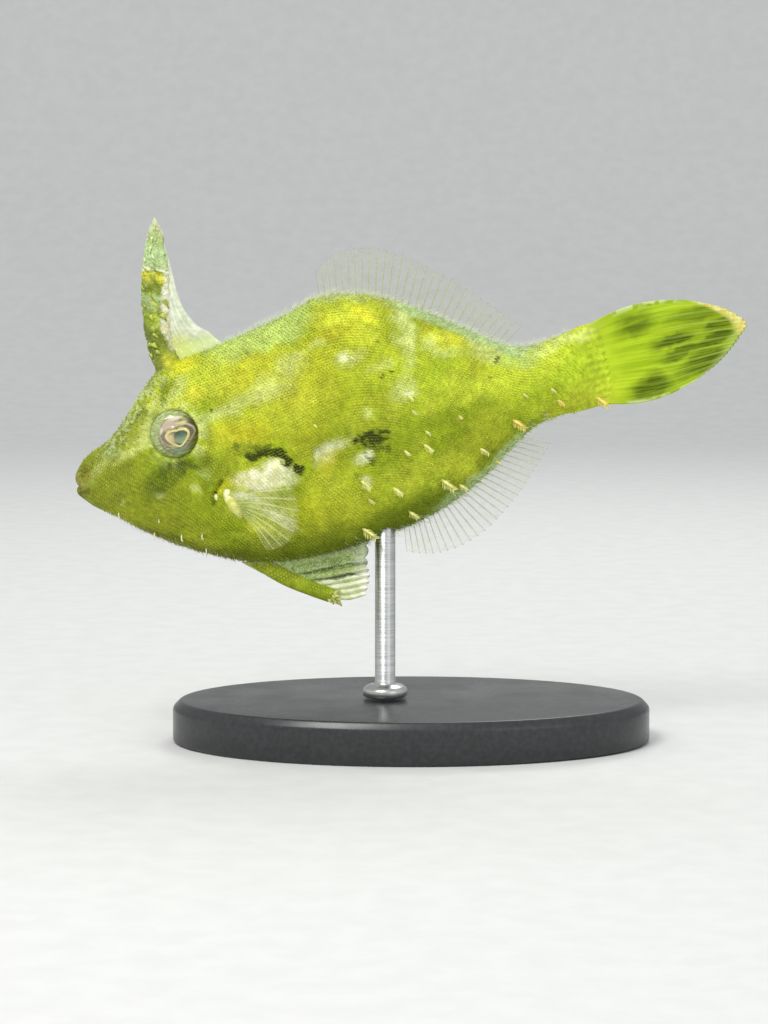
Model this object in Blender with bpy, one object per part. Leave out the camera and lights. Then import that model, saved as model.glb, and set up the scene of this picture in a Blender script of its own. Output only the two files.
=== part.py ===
"""A still, life-size aiptasia-eating filefish on a plain display stand.

The fish is drawn in its own frame, in millimetres: u runs from the snout to the tail, w to the side that is
away from the viewer and v towards the back. The snout is at u = 0. An empty carries that frame, tipped nose
down, and point() turns millimetres into Blender's metres.
"""

import math
import random

import bmesh
import bpy
from mathutils import Matrix, Vector

MM = 0.001
GAP = 0.3
SHARP_ANGLE = math.radians(33)

# Driving sizes of the fish
TOTAL_LENGTH = 80.3
NOSE_DOWN = math.radians(13.0)
SNOUT_PLACE = (-39.07, 0.0, 31.0)
TAIL_SWING = 2.6
SWING_START = 42.0

# Body lines, as (u, v) from the snout to the root of the tail fin
BACK_LINE = (
    (0.0, -0.7), (0.3, 0.7), (1.0, 1.6), (2.4, 2.5), (4.4, 3.3), (6.5, 4.8), (8.8, 7.1), (10.8, 9.0),
    (12.6, 10.1), (15.0, 10.6), (18.5, 11.1), (22.9, 11.9), (28.6, 13.1), (31.2, 13.9), (34.0, 14.0),
    (37.2, 13.3), (42.5, 10.6), (48.7, 6.2), (52.6, 3.6), (55.0, 3.0), (57.4, 3.3), (62.0, 4.3),
)
BELLY_LINE = (
    (0.0, -0.7), (0.2, -2.1), (1.0, -3.4), (2.2, -4.4), (3.8, -5.6), (5.8, -7.4), (8.4, -9.3), (11.0, -11.0),
    (13.7, -12.4), (16.5, -13.7), (20.0, -14.7), (25.0, -15.2), (30.7, -14.9), (35.3, -14.3), (40.3, -13.2),
    (45.9, -10.7), (50.9, -7.5), (53.5, -6.1), (55.8, -5.6), (59.0, -5.6), (62.0, -5.6),
)
HALF_WIDTH = (
    (0.0, 0.0), (0.3, 0.95), (1.0, 1.4), (3.0, 1.95), (6.0, 2.8), (10.0, 3.9), (14.0, 4.6), (18.0, 5.0),
    (24.0, 5.2), (30.0, 5.0), (38.0, 4.3), (46.0, 3.1), (53.0, 2.1), (58.0, 1.6), (62.0, 1.1),
)
WIDEST_HEIGHT = ((0.0, -0.7), (10.0, 0.0), (20.0, -2.0), (35.0, -1.6), (55.0, -1.3), (62.0, -0.6))
KEEL_SHARPNESS = 1.32
KEEL_FULL_AT = 18.0
BODY_END = 61.2
BODY_STATIONS = 62
STATION_CROWDING = 1.45
BODY_SIDES = 30

# The seams between head, trunk and tail: a point (u, v) on each, and how far the cut leans back at the top
HEAD_SEAM = (19.1, 0.0)
HEAD_SEAM_LEAN = math.radians(21.8)
TAIL_SEAM = (54.6, 0.0)

# Head details
EYE_PLACE = (12.7, 2.6)
EYE_RADIUS = 2.92
EYE_DEPTH = 1.95
EYE_BULGE = 1.15
EYE_SEGMENTS = 20
EYE_RINGS = 12
MOUTH_HEIGHT = -0.95
MOUTH_DEPTH = 1.5
MOUTH_HALF_WIDTH = 2.0
MOUTH_SLOT = 0.34
MOUTH_CORNER_SLOT = 0.12
LIP_RADIUS = 0.42
LIP_LIFT = 0.8
LIP_FRONT = 0.12
LIP_SETBACK = 1.35
LIP_HALF_WIDTH = 1.12
LIP_CORNER_SHARE = 0.55
LIP_STEPS = 9
LIP_SIDES = 8
LOWER_LIP_REACH = 0.22
NOSTRILS = ((9.2, 4.6), (9.0, 5.7))
NOSTRIL_RADIUS = 0.3
NOSTRIL_DEPTH = 0.45
GILL_LINE = ((15.2, -6.2), (15.85, -4.9), (16.8, -3.8))
GILL_SLOT = 0.26
GILL_INNER_SLOT = 0.08
GILL_DEPTH = 0.7
GILL_CUTTER_REACH = 1.0

# First dorsal spine, as (u, v) of the middle line, half length fore and aft, half width
SPINE_STATIONS = (
    (13.4, 10.9, 1.55, 0.95), (13.15, 12.7, 1.42, 0.85), (13.4, 15.6, 1.52, 0.82),
    (14.05, 19.1, 1.66, 0.8), (14.85, 22.5, 1.5, 0.74), (15.45, 25.2, 0.9, 0.56), (15.75, 26.6, 0.42, 0.36),
)
SPINE_TIP = (15.95, 27.5)
SPINE_SIDES = 14
SPINE_STEPS = 15

# The spine's barbs: their heights as shares of the spine, how far they reach along, across and down, where
# they start as shares of its halves, and where they narrow as a share of their length and of their radius
BARB_PAIRS = 6
BARB_START = 0.16
BARB_SPACING = 0.125
BARB_LENGTH = 1.15
BARB_RADIUS = 0.46
BARB_REACH = (0.8, 1.0, -0.55)
BARB_ROOT = (0.7, 0.6)
BARB_WAIST = (0.45, 0.72)
REAR_BARB_TURN = math.radians(62)
FRONT_BARB_TURN = math.radians(148)
FRONT_BARB_RISE = 0.05
FRONT_BARB_SIZE = 0.75

# The rear edge of the web behind the spine, as (u, v) from its top to the back
MEMBRANE_EDGE = ((17.0, 24.0), (17.25, 21.0), (17.4, 18.1), (17.9, 15.9), (19.1, 13.7), (21.2, 11.9))
MEMBRANE_HALF = 0.26
MEMBRANE_THINNING = 0.25
MEMBRANE_ROWS = 9

# Fins: half thickness at the fleshy root, on a ray, between rays and at the edge
FIN_ROOT_HALF = 0.62
RAY_HALF = 0.45
WEB_HALF = 0.25
FIN_EDGE_HALF = 0.2
RAY_EDGE_HALF = 0.25
FIN_ROOT_SHARE = 0.25
FIN_EDGE_START = 0.55
FIN_GAP = 0.36
FIN_ROWS = 7
DORSAL_RAYS = 28
DORSAL_ROOT = (32.4, 52.2)
DORSAL_LEAN = ((0.0, 86.0), (0.3, 75.0), (0.6, 57.0), (1.0, 33.0))
DORSAL_RAY = ((0.0, 3.0), (0.12, 4.5), (0.3, 5.3), (0.6, 4.7), (1.0, 2.8))
ANAL_RAYS = 26
ANAL_ROOT = (35.9, 52.0)
ANAL_LEAN = ((0.0, -97.0), (0.25, -79.0), (0.4, -63.0), (0.6, -44.0), (1.0, -26.0))
ANAL_RAY = ((0.0, 2.6), (0.15, 3.9), (0.35, 4.8), (0.65, 4.4), (1.0, 3.2))
FIN_WAVE = 0.6
FIN_WAVE_COUNT = 1.6
TAIL_RAYS = 12
TAIL_ROOT_U = 61.5
TAIL_EDGE = (
    (0.0, 74.3, 4.1), (0.17, 78.3, 2.1), (0.3, 80.3, 0.2), (0.5, 78.3, -2.2), (0.68, 74.9, -4.3),
    (0.85, 70.3, -5.9), (1.0, 66.4, -6.2),
)
TAIL_TOP_BULGE = 1.08
TAIL_LOW_BULGE = 0.45
TAIL_ROOT_HALF = 0.9
TAIL_ROWS = 12
PECTORAL_RAYS = 11
PECTORAL_ROOT = ((17.5, -5.2), (18.3, -8.2))
PECTORAL_SPREAD = (math.radians(34), math.radians(-58))
PECTORAL_RAY = ((0.0, 6.2), (0.25, 7.8), (0.5, 8.2), (0.75, 7.4), (1.0, 5.2))
PECTORAL_SPLAY = math.radians(27)
PECTORAL_ROOT_HALF = 0.55
PECTORAL_STANDOFF = 0.5
PECTORAL_CUP = 0.25

# Pelvic flap: the bone along its front edge, and its free rear edge, as (share from top to bottom, u, v)
PELVIC_BONE = ((0.0, 17.2, -14.55), (0.35, 20.4, -16.9), (0.7, 23.4, -18.9), (1.0, 25.7, -20.1))
FLAP_EDGE = ((0.0, 31.3, -15.9), (0.25, 30.6, -17.2), (0.6, 30.4, -19.0), (1.0, 29.5, -20.95))
FLAP_FOLDS = 9
FLAP_ROWS = 10
FLAP_SCALLOP = 0.45
FLAP_FOLD_HALF = 0.62
FLAP_VALLEY_HALF = 0.4
FLAP_ROOT_THICKENING = 0.45
FLAP_EDGE_HALF = 0.2
FLAP_WAVE = 0.25
FLAP_WAVE_TURN = 3.4
FLAP_GAP = 0.375
BONE_RADIUS = 0.8
BONE_TOP_SHARE = 0.62
BONE_START = 0.06
BONE_SHIFT = (0.35, -0.05)
BONE_STEPS = 8
BONE_SIDES = 10
RUDIMENT_RADIUS = 0.85
RUDIMENT_BARBS = 7
RUDIMENT_BARB_LENGTH = 1.35
RUDIMENT_BARB_RADII = (0.34, 0.26)
RUDIMENT_FAN_START = math.radians(-150)
RUDIMENT_FAN_STEP = math.radians(50)

# Skin tassels that show from a step away, as (u, v, length)
HEAD_TASSELS = (
    (4.0, -4.9, 1.1), (7.4, -7.9, 1.3), (10.6, -9.0, 1.1), (13.0, -9.4, 1.2), (13.0, -11.2, 1.4),
    (8.5, -6.6, 1.0),
)
TRUNK_TASSELS = (
    (31.2, -13.0, 2.2), (36.9, -12.3, 1.5), (35.8, -9.1, 1.6), (41.4, -9.5, 2.1), (46.6, -7.0, 1.4),
    (40.4, -5.0, 1.3), (34.4, 6.8, 1.3), (39.9, 0.9, 1.3), (51.0, -4.6, 1.6), (43.3, -10.6, 1.2),
    (32.4, -7.4, 1.7),
)
TAIL_TASSELS = ((60.0, -4.6, 1.6), (56.6, -3.6, 1.2))
TASSEL_LENGTH_SPREAD = (0.9, 1.12)
TASSEL_RADIUS = 0.34
TASSEL_TAPER = 0.8
TASSEL_SINK = 0.7
LOBED_TASSEL = 1.55
LOBE_RADII = (0.26, 0.22)

# Where a tassel bends, where it ends and how far its side lobe reaches, as (u, w, v) in shares of its length
TASSEL_BEND = (0.3, 0.38, -0.28)
TASSEL_TIP = (0.62, 0.55, -0.72)
LOBE_REACH = (0.31, 0.25, 0.025)

# The stand
BASE_LENGTH = 56.0
BASE_WIDTH = 34.0
BASE_HEIGHT = 5.0
BASE_BEVEL = 0.9
BASE_SIDES = 56
ROD_RADIUS = 1.2
ROD_SIDES = 24
ROD_CHAMFER = 0.3
ROD_U = 33.6
SOCKET_DEPTH = 3.2
SOCKET_SIDES = 16
SOCKET_CUTTER_BELOW = 4.0
BOSS_RADIUS = 2.6
BOSS_HEIGHT = 1.4
BOSS_CHAMFER = 0.5


def point(u, w, v):
    """A place in the fish's frame, in metres, with the slight swing of the tail to one side."""
    reach = max(0.0, u - SWING_START) / (TOTAL_LENGTH - SWING_START)
    return Vector((u, w + TAIL_SWING * reach * reach, v)) * MM


def smooth(points, at, warp=lambda t: t):
    """The value at a place on a smooth curve through (place, value) points, on a warped axis."""
    places = [warp(p[0]) for p in points]
    values = [p[1] for p in points]
    at = min(max(warp(at), places[0]), places[-1])
    i = max(k for k in range(len(places) - 1) if places[k] <= at)
    slopes = [(values[k + 1] - values[k]) / (places[k + 1] - places[k]) for k in range(len(places) - 1)]

    def tangent(k):
        if k == 0:
            return slopes[0]
        if k == len(places) - 1:
            return slopes[-1]
        before = places[k] - places[k - 1]
        after = places[k + 1] - places[k]
        return (slopes[k - 1] * after + slopes[k] * before) / (before + after)

    span = places[i + 1] - places[i]
    t = (at - places[i]) / span
    return (
        values[i] * (1 + 2 * t) * (1 - t) ** 2
        + values[i + 1] * t * t * (3 - 2 * t)
        + span * t * (1 - t) * (tangent(i) * (1 - t) - tangent(i + 1) * t)
    )


def ease(t):
    """A smooth step from 0 to 1."""
    t = min(max(t, 0.0), 1.0)
    return t * t * (3 - 2 * t)


def turns(sides):
    """Evenly spaced angles once round."""
    return [2 * math.pi * s / sides for s in range(sides)]


def back(u):
    return smooth(BACK_LINE, u, math.sqrt)


def belly(u):
    return smooth(BELLY_LINE, u, math.sqrt)


def half_width(u):
    return smooth(HALF_WIDTH, u, math.sqrt)


def keel(u):
    """How sharply the section narrows to its back and belly: 1 is an ellipse."""
    return 1 + (KEEL_SHARPNESS - 1) * ease(u / KEEL_FULL_AT)


def skin_height(u, w):
    """The height of the back at a distance w from the middle of the station u."""
    middle = smooth(WIDEST_HEIGHT, u)
    share = min(abs(w) / half_width(u), 1.0) ** (2 / keel(u))
    return middle + (back(u) - middle) * math.sqrt(1 - share)


def section_point(u, angle):
    """A point (u, w, v) on the body's skin. Angle 0 is the far side and a quarter turn is the back."""
    middle = smooth(WIDEST_HEIGHT, u)
    rise = math.sin(angle)
    v = middle + rise * ((back(u) - middle) if rise > 0 else (middle - belly(u)))
    side = math.cos(angle)
    return (u, math.copysign(half_width(u) * abs(side) ** keel(u), side), v)


def skin_width(u, v):
    """Half the body's width at a height v of the station u."""
    middle = smooth(WIDEST_HEIGHT, u)
    reach = (back(u) - middle) if v > middle else (middle - belly(u))
    rise = min(abs(v - middle) / reach, 1.0)
    return half_width(u) * (1 - rise * rise) ** (keel(u) / 2)


def material(name, colour, roughness, metallic=0.0):
    made = bpy.data.materials.new(name)
    made.use_nodes = True
    shader = made.node_tree.nodes["Principled BSDF"]
    shader.inputs["Base Color"].default_value = (*colour, 1.0)
    shader.inputs["Roughness"].default_value = roughness
    shader.inputs["Metallic"].default_value = metallic
    return made


def dress(obj, finish):
    """Gives the whole object one material."""
    obj.data.materials.clear()
    obj.data.materials.append(finish)
    for face in obj.data.polygons:
        face.material_index = 0


def new_object(name, vertices, faces):
    """A mesh object from points in metres and faces that point outwards."""
    mesh = bpy.data.meshes.new(name)
    mesh.from_pydata([tuple(v) for v in vertices], [], faces)
    made = bpy.data.objects.new(name, mesh)
    bpy.context.scene.collection.objects.link(made)
    tidy_normals(made)
    return made


def tidy_normals(obj):
    bm = bmesh.new()
    bm.from_mesh(obj.data)
    bmesh.ops.recalc_face_normals(bm, faces=bm.faces)
    bm.to_mesh(obj.data)
    bm.free()


def loft(name, rings, start, end):
    """A tube through rings of points, closed by a point at each end, or flat where that is None."""
    sides = len(rings[0])
    vertices = [p for ring in rings for p in ring]
    faces = []
    for r in range(len(rings) - 1):
        for s in range(sides):
            a = r * sides + s
            b = r * sides + (s + 1) % sides
            faces.append((a, b, b + sides, a + sides))
    for tip, first in ((start, 0), (end, (len(rings) - 1) * sides)):
        rim = [first + s for s in range(sides)]
        if tip is None:
            faces.append(rim if first else rim[::-1])
            continue
        vertices.append(tip)
        pole = len(vertices) - 1
        for s in range(sides):
            pair = (rim[s], rim[(s + 1) % sides])
            faces.append((*pair, pole) if first else (*pair[::-1], pole))
    return new_object(name, vertices, faces)


def spike(name, path, radii, sides):
    """A closed round spike along a path of points in metres, with radii in millimetres and a sharp tip."""
    rings = []
    for i in range(len(path) - 1):
        along = (path[i + 1] - path[max(i - 1, 0)]).normalized()
        across = along.orthogonal().normalized()
        other = along.cross(across)
        rings.append([
            path[i] + (across * math.cos(t) + other * math.sin(t)) * radii[i] * MM
            for t in turns(sides)
        ])
    return loft(name, rings, None, path[-1])


def ribbed_sheet(name, columns, halves, normals):
    """A closed sheet: columns of points from root to edge, half thicknesses in millimetres, and normals."""
    rows = len(columns[0])
    count = len(columns)
    vertices = []
    for side in (1, -1):
        for c in range(count):
            for r in range(rows):
                vertices.append(columns[c][r] + normals[c][r] * side * halves[c][r] * MM)

    def at(side, c, r):
        return side * count * rows + c * rows + r

    faces = []
    for c in range(count - 1):
        for r in range(rows - 1):
            for side in (0, 1):
                a, b = at(side, c, r), at(side, c + 1, r)
                d, e = at(side, c, r + 1), at(side, c + 1, r + 1)
                faces += [(a, b, e), (a, e, d)] if side == 0 else [(a, e, b), (a, d, e)]
    rim = [(c, 0) for c in range(count)] + [(count - 1, r) for r in range(1, rows)]
    rim += [(c, rows - 1) for c in range(count - 2, -1, -1)] + [(0, r) for r in range(rows - 2, 0, -1)]
    for (c0, r0), (c1, r1) in zip(rim, rim[1:] + rim[:1]):
        a, b = at(0, c0, r0), at(0, c1, r1)
        d, e = at(1, c0, r0), at(1, c1, r1)
        faces += [(a, d, e), (a, e, b)]
    return new_object(name, vertices, faces)


def sheet_normals(columns):
    """The normal at each point of a sheet, from its neighbours."""
    found = []
    for c, column in enumerate(columns):
        line = []
        for r in range(len(column)):
            across = columns[min(c + 1, len(columns) - 1)][r] - columns[max(c - 1, 0)][r]
            along = column[min(r + 1, len(column) - 1)] - column[max(r - 1, 0)]
            line.append(across.cross(along).normalized())
        found.append(line)
    return found


def fin(name, ray_point, rays, rows=FIN_ROWS, root_half=FIN_ROOT_HALF):
    """A fin whose rays are ridges raised in its membrane.

    ray_point gives (u, w, v) at a share of the way along the root and a share of the way outwards.
    """
    count = 2 * rays - 1
    columns = []
    halves = []
    for c in range(count):
        share = c / (count - 1)
        columns.append([point(*ray_point(share, r / (rows - 1))) for r in range(rows)])
        on_ray = c % 2 == 0
        ridge = RAY_HALF if on_ray else WEB_HALF
        edge = RAY_EDGE_HALF if on_ray else FIN_EDGE_HALF
        thick = []
        for r in range(rows):
            out = r / (rows - 1)
            body = ridge + (root_half - ridge) * (1 - ease(out / FIN_ROOT_SHARE))
            thick.append(body + (edge - body) * ease((out - FIN_EDGE_START) / (1 - FIN_EDGE_START)))
        halves.append(thick)
    return ribbed_sheet(name, columns, halves, sheet_normals(columns))


def largest_piece(obj):
    """Keeps only the object's largest closed surface."""
    bm = bmesh.new()
    bm.from_mesh(obj.data)
    unseen = set(bm.faces)
    shells = []
    while unseen:
        shell = set()
        front = [unseen.pop()]
        while front:
            face = front.pop()
            shell.add(face)
            near = {other for edge in face.edges for other in edge.link_faces} & unseen
            unseen -= near
            front += near
        shells.append(shell)
    shells.sort(key=lambda shell: sum(face.calc_area() for face in shell), reverse=True)
    for shell in shells[1:]:
        bmesh.ops.delete(bm, geom=list(shell), context="FACES")
    bm.to_mesh(obj.data)
    bm.free()


def combine(obj, pieces, operation, solver="EXACT"):
    """Joins or cuts obj with closed pieces by one Boolean, applies it and removes the pieces."""
    group = bpy.data.collections.new("pieces")
    bpy.context.scene.collection.children.link(group)
    for piece in pieces:
        bpy.context.scene.collection.objects.unlink(piece)
        group.objects.link(piece)
    boolean = obj.modifiers.new("combine", "BOOLEAN")
    boolean.operand_type = "COLLECTION"
    boolean.collection = group
    boolean.operation = operation
    boolean.solver = solver
    graph = bpy.context.evaluated_depsgraph_get()
    done = bpy.data.meshes.new_from_object(obj.evaluated_get(graph))
    obj.modifiers.clear()
    obj.data = done
    for piece in list(group.objects):
        bpy.data.objects.remove(piece)
    bpy.data.collections.remove(group)
    largest_piece(obj)


def cut_copy(source, name, planes):
    """A copy of source cut down to the inner side of each plane, with flat closed cuts.

    A plane is a point on it and the direction that points outwards.
    """
    bm = bmesh.new()
    bm.from_mesh(source.data)
    for place, outward in planes:
        geometry = bm.verts[:] + bm.edges[:] + bm.faces[:]
        bmesh.ops.bisect_plane(
            bm, geom=geometry, dist=1e-7, plane_co=place, plane_no=outward, clear_outer=True
        )
        rim = [edge for edge in bm.edges if edge.is_boundary]
        bmesh.ops.triangle_fill(bm, edges=rim, use_beauty=True, normal=outward)
    bmesh.ops.recalc_face_normals(bm, faces=bm.faces)
    mesh = bpy.data.meshes.new(name)
    bm.to_mesh(mesh)
    bm.free()
    made = bpy.data.objects.new(name, mesh)
    bpy.context.scene.collection.objects.link(made)
    return made


def ellipsoid(name, centre, radii, segments, rings):
    """A closed ellipsoid in the fish's frame: centre and radii as (u, w, v) in millimetres."""
    bm = bmesh.new()
    bmesh.ops.create_uvsphere(bm, u_segments=segments, v_segments=rings, radius=1.0)
    bmesh.ops.rotate(bm, verts=bm.verts, cent=(0, 0, 0), matrix=Matrix.Rotation(math.pi / 2, 3, "X"))
    bmesh.ops.scale(bm, verts=bm.verts, vec=Vector(radii) * MM)
    bmesh.ops.translate(bm, verts=bm.verts, vec=point(*centre))
    mesh = bpy.data.meshes.new(name)
    bm.to_mesh(mesh)
    bm.free()
    made = bpy.data.objects.new(name, mesh)
    bpy.context.scene.collection.objects.link(made)
    tidy_normals(made)
    return made


def whole_body():
    """The body from snout to tail root as one closed skin."""
    rings = []
    for i in range(1, BODY_STATIONS + 1):
        u = BODY_END * (i / BODY_STATIONS) ** STATION_CROWDING
        rings.append([point(*section_point(u, t)) for t in turns(BODY_SIDES)])
    return loft("body", rings, point(0.0, 0.0, BACK_LINE[0][1]), None)


def eye_centre(side):
    u, v = EYE_PLACE
    return (u, side * (skin_width(u, v) + EYE_BULGE - EYE_DEPTH), v)


def eye(name, side, grow=0.0):
    """One eyeball, or the socket that it sits in when grown by the gap."""
    radii = (EYE_RADIUS + grow, EYE_DEPTH + grow, EYE_RADIUS + grow)
    return ellipsoid(name, eye_centre(side), radii, EYE_SEGMENTS, EYE_RINGS)


def lip(name, above):
    """A roll of flesh round the front of the snout, above or below the line of the mouth."""
    path = []
    radii = []
    height = MOUTH_HEIGHT + above * (MOUTH_SLOT / 2 + LIP_RADIUS * LIP_LIFT)
    front = LIP_FRONT if above > 0 else LIP_FRONT - LOWER_LIP_REACH
    for i in range(LIP_STEPS):
        turn = math.pi * (i / (LIP_STEPS - 1) - 0.5)
        setback = LIP_SETBACK * (1 - math.cos(turn))
        path.append(point(front + setback, LIP_HALF_WIDTH * math.sin(turn), height))
        radii.append(LIP_RADIUS * (LIP_CORNER_SHARE + (1 - LIP_CORNER_SHARE) * math.cos(turn)))
    rings = []
    upright = Vector((0, 0, 1))
    for i in range(1, LIP_STEPS - 1):
        along = (path[i + 1] - path[i - 1]).normalized()
        across = along.cross(upright).normalized()
        rings.append([
            path[i] + (across * math.cos(t) + upright * math.sin(t)) * radii[i] * MM
            for t in turns(LIP_SIDES)
        ])
    return loft(name, rings, path[0], path[-1])


def mouth_cutter():
    """The thin wedge that opens the line of the mouth."""
    corners = ((-1, -1), (1, -1), (1, 1), (-1, 1))
    ends = [
        [point(u, w * MOUTH_HALF_WIDTH, MOUTH_HEIGHT + h * slot / 2) for w, h in corners]
        for u, slot in ((-MOUTH_DEPTH, MOUTH_SLOT), (MOUTH_DEPTH, MOUTH_CORNER_SLOT))
    ]
    return loft("mouth_cutter", ends, None, None)


def gill_cutter(side):
    """A curved blade that cuts the gill opening into one side."""
    rings = []
    for u, v in GILL_LINE:
        w = skin_width(u, v)
        outer = side * (w + GILL_CUTTER_REACH)
        inner = side * (w - GILL_DEPTH)
        rings.append([
            point(u - GILL_SLOT, outer, v), point(u + GILL_SLOT, outer, v),
            point(u + GILL_INNER_SLOT, inner, v), point(u - GILL_INNER_SLOT, inner, v),
        ])
    return loft("gill_cutter", rings, None, None)


def nostril_cutter(side, u, v):
    radii = (NOSTRIL_RADIUS, NOSTRIL_DEPTH, NOSTRIL_RADIUS)
    return ellipsoid("nostril_cutter", (u, side * skin_width(u, v), v), radii, 8, 6)


def tassel(u, v, length, side, draw):
    """A tapered flap of skin that stands out and leans back and down, with a lobe where it is long."""
    length *= draw.uniform(*TASSEL_LENGTH_SPREAD)
    w = side * skin_width(u, v)

    def reach(shares):
        return point(u + shares[0] * length, w + side * shares[1] * length, v + shares[2] * length)

    root = point(u, w - side * TASSEL_SINK, v)
    bend = reach(TASSEL_BEND)
    tip = reach(TASSEL_TIP)
    pieces = [spike("tassel", [root, bend, tip], (TASSEL_RADIUS, TASSEL_RADIUS * TASSEL_TAPER), 6)]
    if length > LOBED_TASSEL:
        fork = root.lerp(bend, 0.75)
        along, across, rise = LOBE_REACH
        lobe = fork + Vector((along, side * across, rise)) * length * MM
        pieces.append(spike("lobe", [fork, fork.lerp(lobe, 0.5), lobe], LOBE_RADII, 5))
    return pieces


def tassels(places, draw):
    return [piece for place in places for side in (-1, 1) for piece in tassel(*place, side, draw)]


def seam_plane(seam, lean, shift):
    """A point on a seam, shifted along the body, and the direction towards the tail across it."""
    across = Vector((math.cos(lean), 0.0, -math.sin(lean)))
    middle = Vector((seam[0], 0.0, seam[1])) * MM
    return middle + across * shift * MM, across


def make_body(skin, draw):
    """The head, the trunk and the tail, cut from one skin with a thin gap at each seam."""
    body = whole_body()
    combine(body, [lip("lip", 1), lip("lip", -1)], "UNION")
    cutters = [mouth_cutter()]
    for side in (-1, 1):
        cutters.append(eye("socket", side, GAP))
        cutters.append(gill_cutter(side))
        cutters += [nostril_cutter(side, u, v) for u, v in NOSTRILS]
    combine(body, cutters, "DIFFERENCE")
    # The exact solver leaves open edges where a tassel's lobe starts inside it
    combine(body, tassels(HEAD_TASSELS + TRUNK_TASSELS + TAIL_TASSELS, draw), "UNION", "MANIFOLD")
    head_back, out = seam_plane(HEAD_SEAM, HEAD_SEAM_LEAN, -GAP / 2)
    trunk_front, _ = seam_plane(HEAD_SEAM, HEAD_SEAM_LEAN, GAP / 2)
    trunk_back, rear = seam_plane(TAIL_SEAM, 0.0, -GAP / 2)
    tail_front, _ = seam_plane(TAIL_SEAM, 0.0, GAP / 2)
    head = cut_copy(body, "head", [(head_back, out)])
    trunk = cut_copy(body, "trunk", [(trunk_front, -out), (trunk_back, rear)])
    tail = cut_copy(body, "tail", [(tail_front, -rear)])
    bpy.data.objects.remove(body)
    combine(trunk, [socket_cutter()], "DIFFERENCE")
    for part in (head, trunk, tail):
        dress(part, skin)
    return [head, trunk, tail]


def upward():
    """The world's upward direction in the fish's frame."""
    return Vector((math.sin(NOSE_DOWN), 0.0, math.cos(NOSE_DOWN)))


def socket_cutter():
    """A round socket in the belly for the stand's rod."""
    low = point(ROD_U, 0, belly(ROD_U))
    start = low - upward() * SOCKET_CUTTER_BELOW * MM
    end = low + upward() * SOCKET_DEPTH * MM
    across = Vector((0, 1, 0))
    other = upward().cross(across)
    radius = (ROD_RADIUS + GAP) * MM
    ring = [(across * math.cos(t) + other * math.sin(t)) * radius for t in turns(SOCKET_SIDES)]
    return loft("socket_cutter", [[start + r for r in ring], [end + r for r in ring]], None, None)


def spine_ring(u, v, long_half, wide_half, tilt):
    """An oval section of the spine, square to its middle line."""
    ring = []
    for turn in turns(SPINE_SIDES):
        along = long_half * math.cos(turn)
        ring.append(point(u + along * math.cos(tilt), wide_half * math.sin(turn), v - along * math.sin(tilt)))
    return ring


def spine_at(share):
    """The spine's middle line and halves at a share of its height: (u, v, long half, wide half)."""
    count = len(SPINE_STATIONS) - 1
    return [smooth([(i / count, s[k]) for i, s in enumerate(SPINE_STATIONS)], share) for k in range(4)]


def barb(share, turn, length):
    """A barb on the spine that points out and down, at a share of its height and a turn round it."""
    u, v, long_half, wide_half = spine_at(share)
    along, across, down = BARB_REACH
    out = Vector((math.cos(turn) * along, math.sin(turn) * across, down)).normalized()
    root = point(u + BARB_ROOT[0] * long_half * math.cos(turn), BARB_ROOT[1] * wide_half * math.sin(turn), v)
    tip = root + out * length * MM
    waist = root.lerp(tip, BARB_WAIST[0])
    return spike("barb", [root, waist, tip], (BARB_RADIUS, BARB_RADIUS * BARB_WAIST[1]), 6)


def make_spine(skin, draw):
    """The erect first dorsal spine with its rows of barbs."""
    rings = []
    for i in range(SPINE_STEPS):
        share = i / (SPINE_STEPS - 1)
        u, v, long_half, wide_half = spine_at(share)
        before = spine_at(max(share - 0.05, 0))
        after = spine_at(min(share + 0.05, 1))
        tilt = math.atan2(after[0] - before[0], after[1] - before[1])
        rings.append(spine_ring(u, v, long_half, wide_half, tilt))
    rings[0] = [Vector((p.x, p.y, (skin_height(p.x / MM, p.y / MM) + GAP) * MM)) for p in rings[0]]
    heel = point(SPINE_STATIONS[0][0], 0, skin_height(SPINE_STATIONS[0][0], 0) + GAP)
    spine = loft("dorsal_spine", rings, heel, point(SPINE_TIP[0], 0, SPINE_TIP[1]))
    barbs = []
    for i in range(BARB_PAIRS):
        share = BARB_START + BARB_SPACING * i
        for side in (-1, 1):
            size = BARB_LENGTH * draw.uniform(0.88, 1.12)
            barbs.append(barb(share, side * REAR_BARB_TURN, size))
            barbs.append(barb(share + FRONT_BARB_RISE, side * FRONT_BARB_TURN, size * FRONT_BARB_SIZE))
    combine(spine, barbs, "UNION")
    dress(spine, skin)
    return spine


def spine_rear(height):
    """The point (u, v) on the spine's rear edge at a height, found by halving."""
    low = 0.0
    high = 1.0
    for _ in range(20):
        share = (low + high) / 2
        if spine_at(share)[1] < height:
            low = share
        else:
            high = share
    u, v, long_half, _ = spine_at(share)
    return (u + long_half, v)


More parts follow.
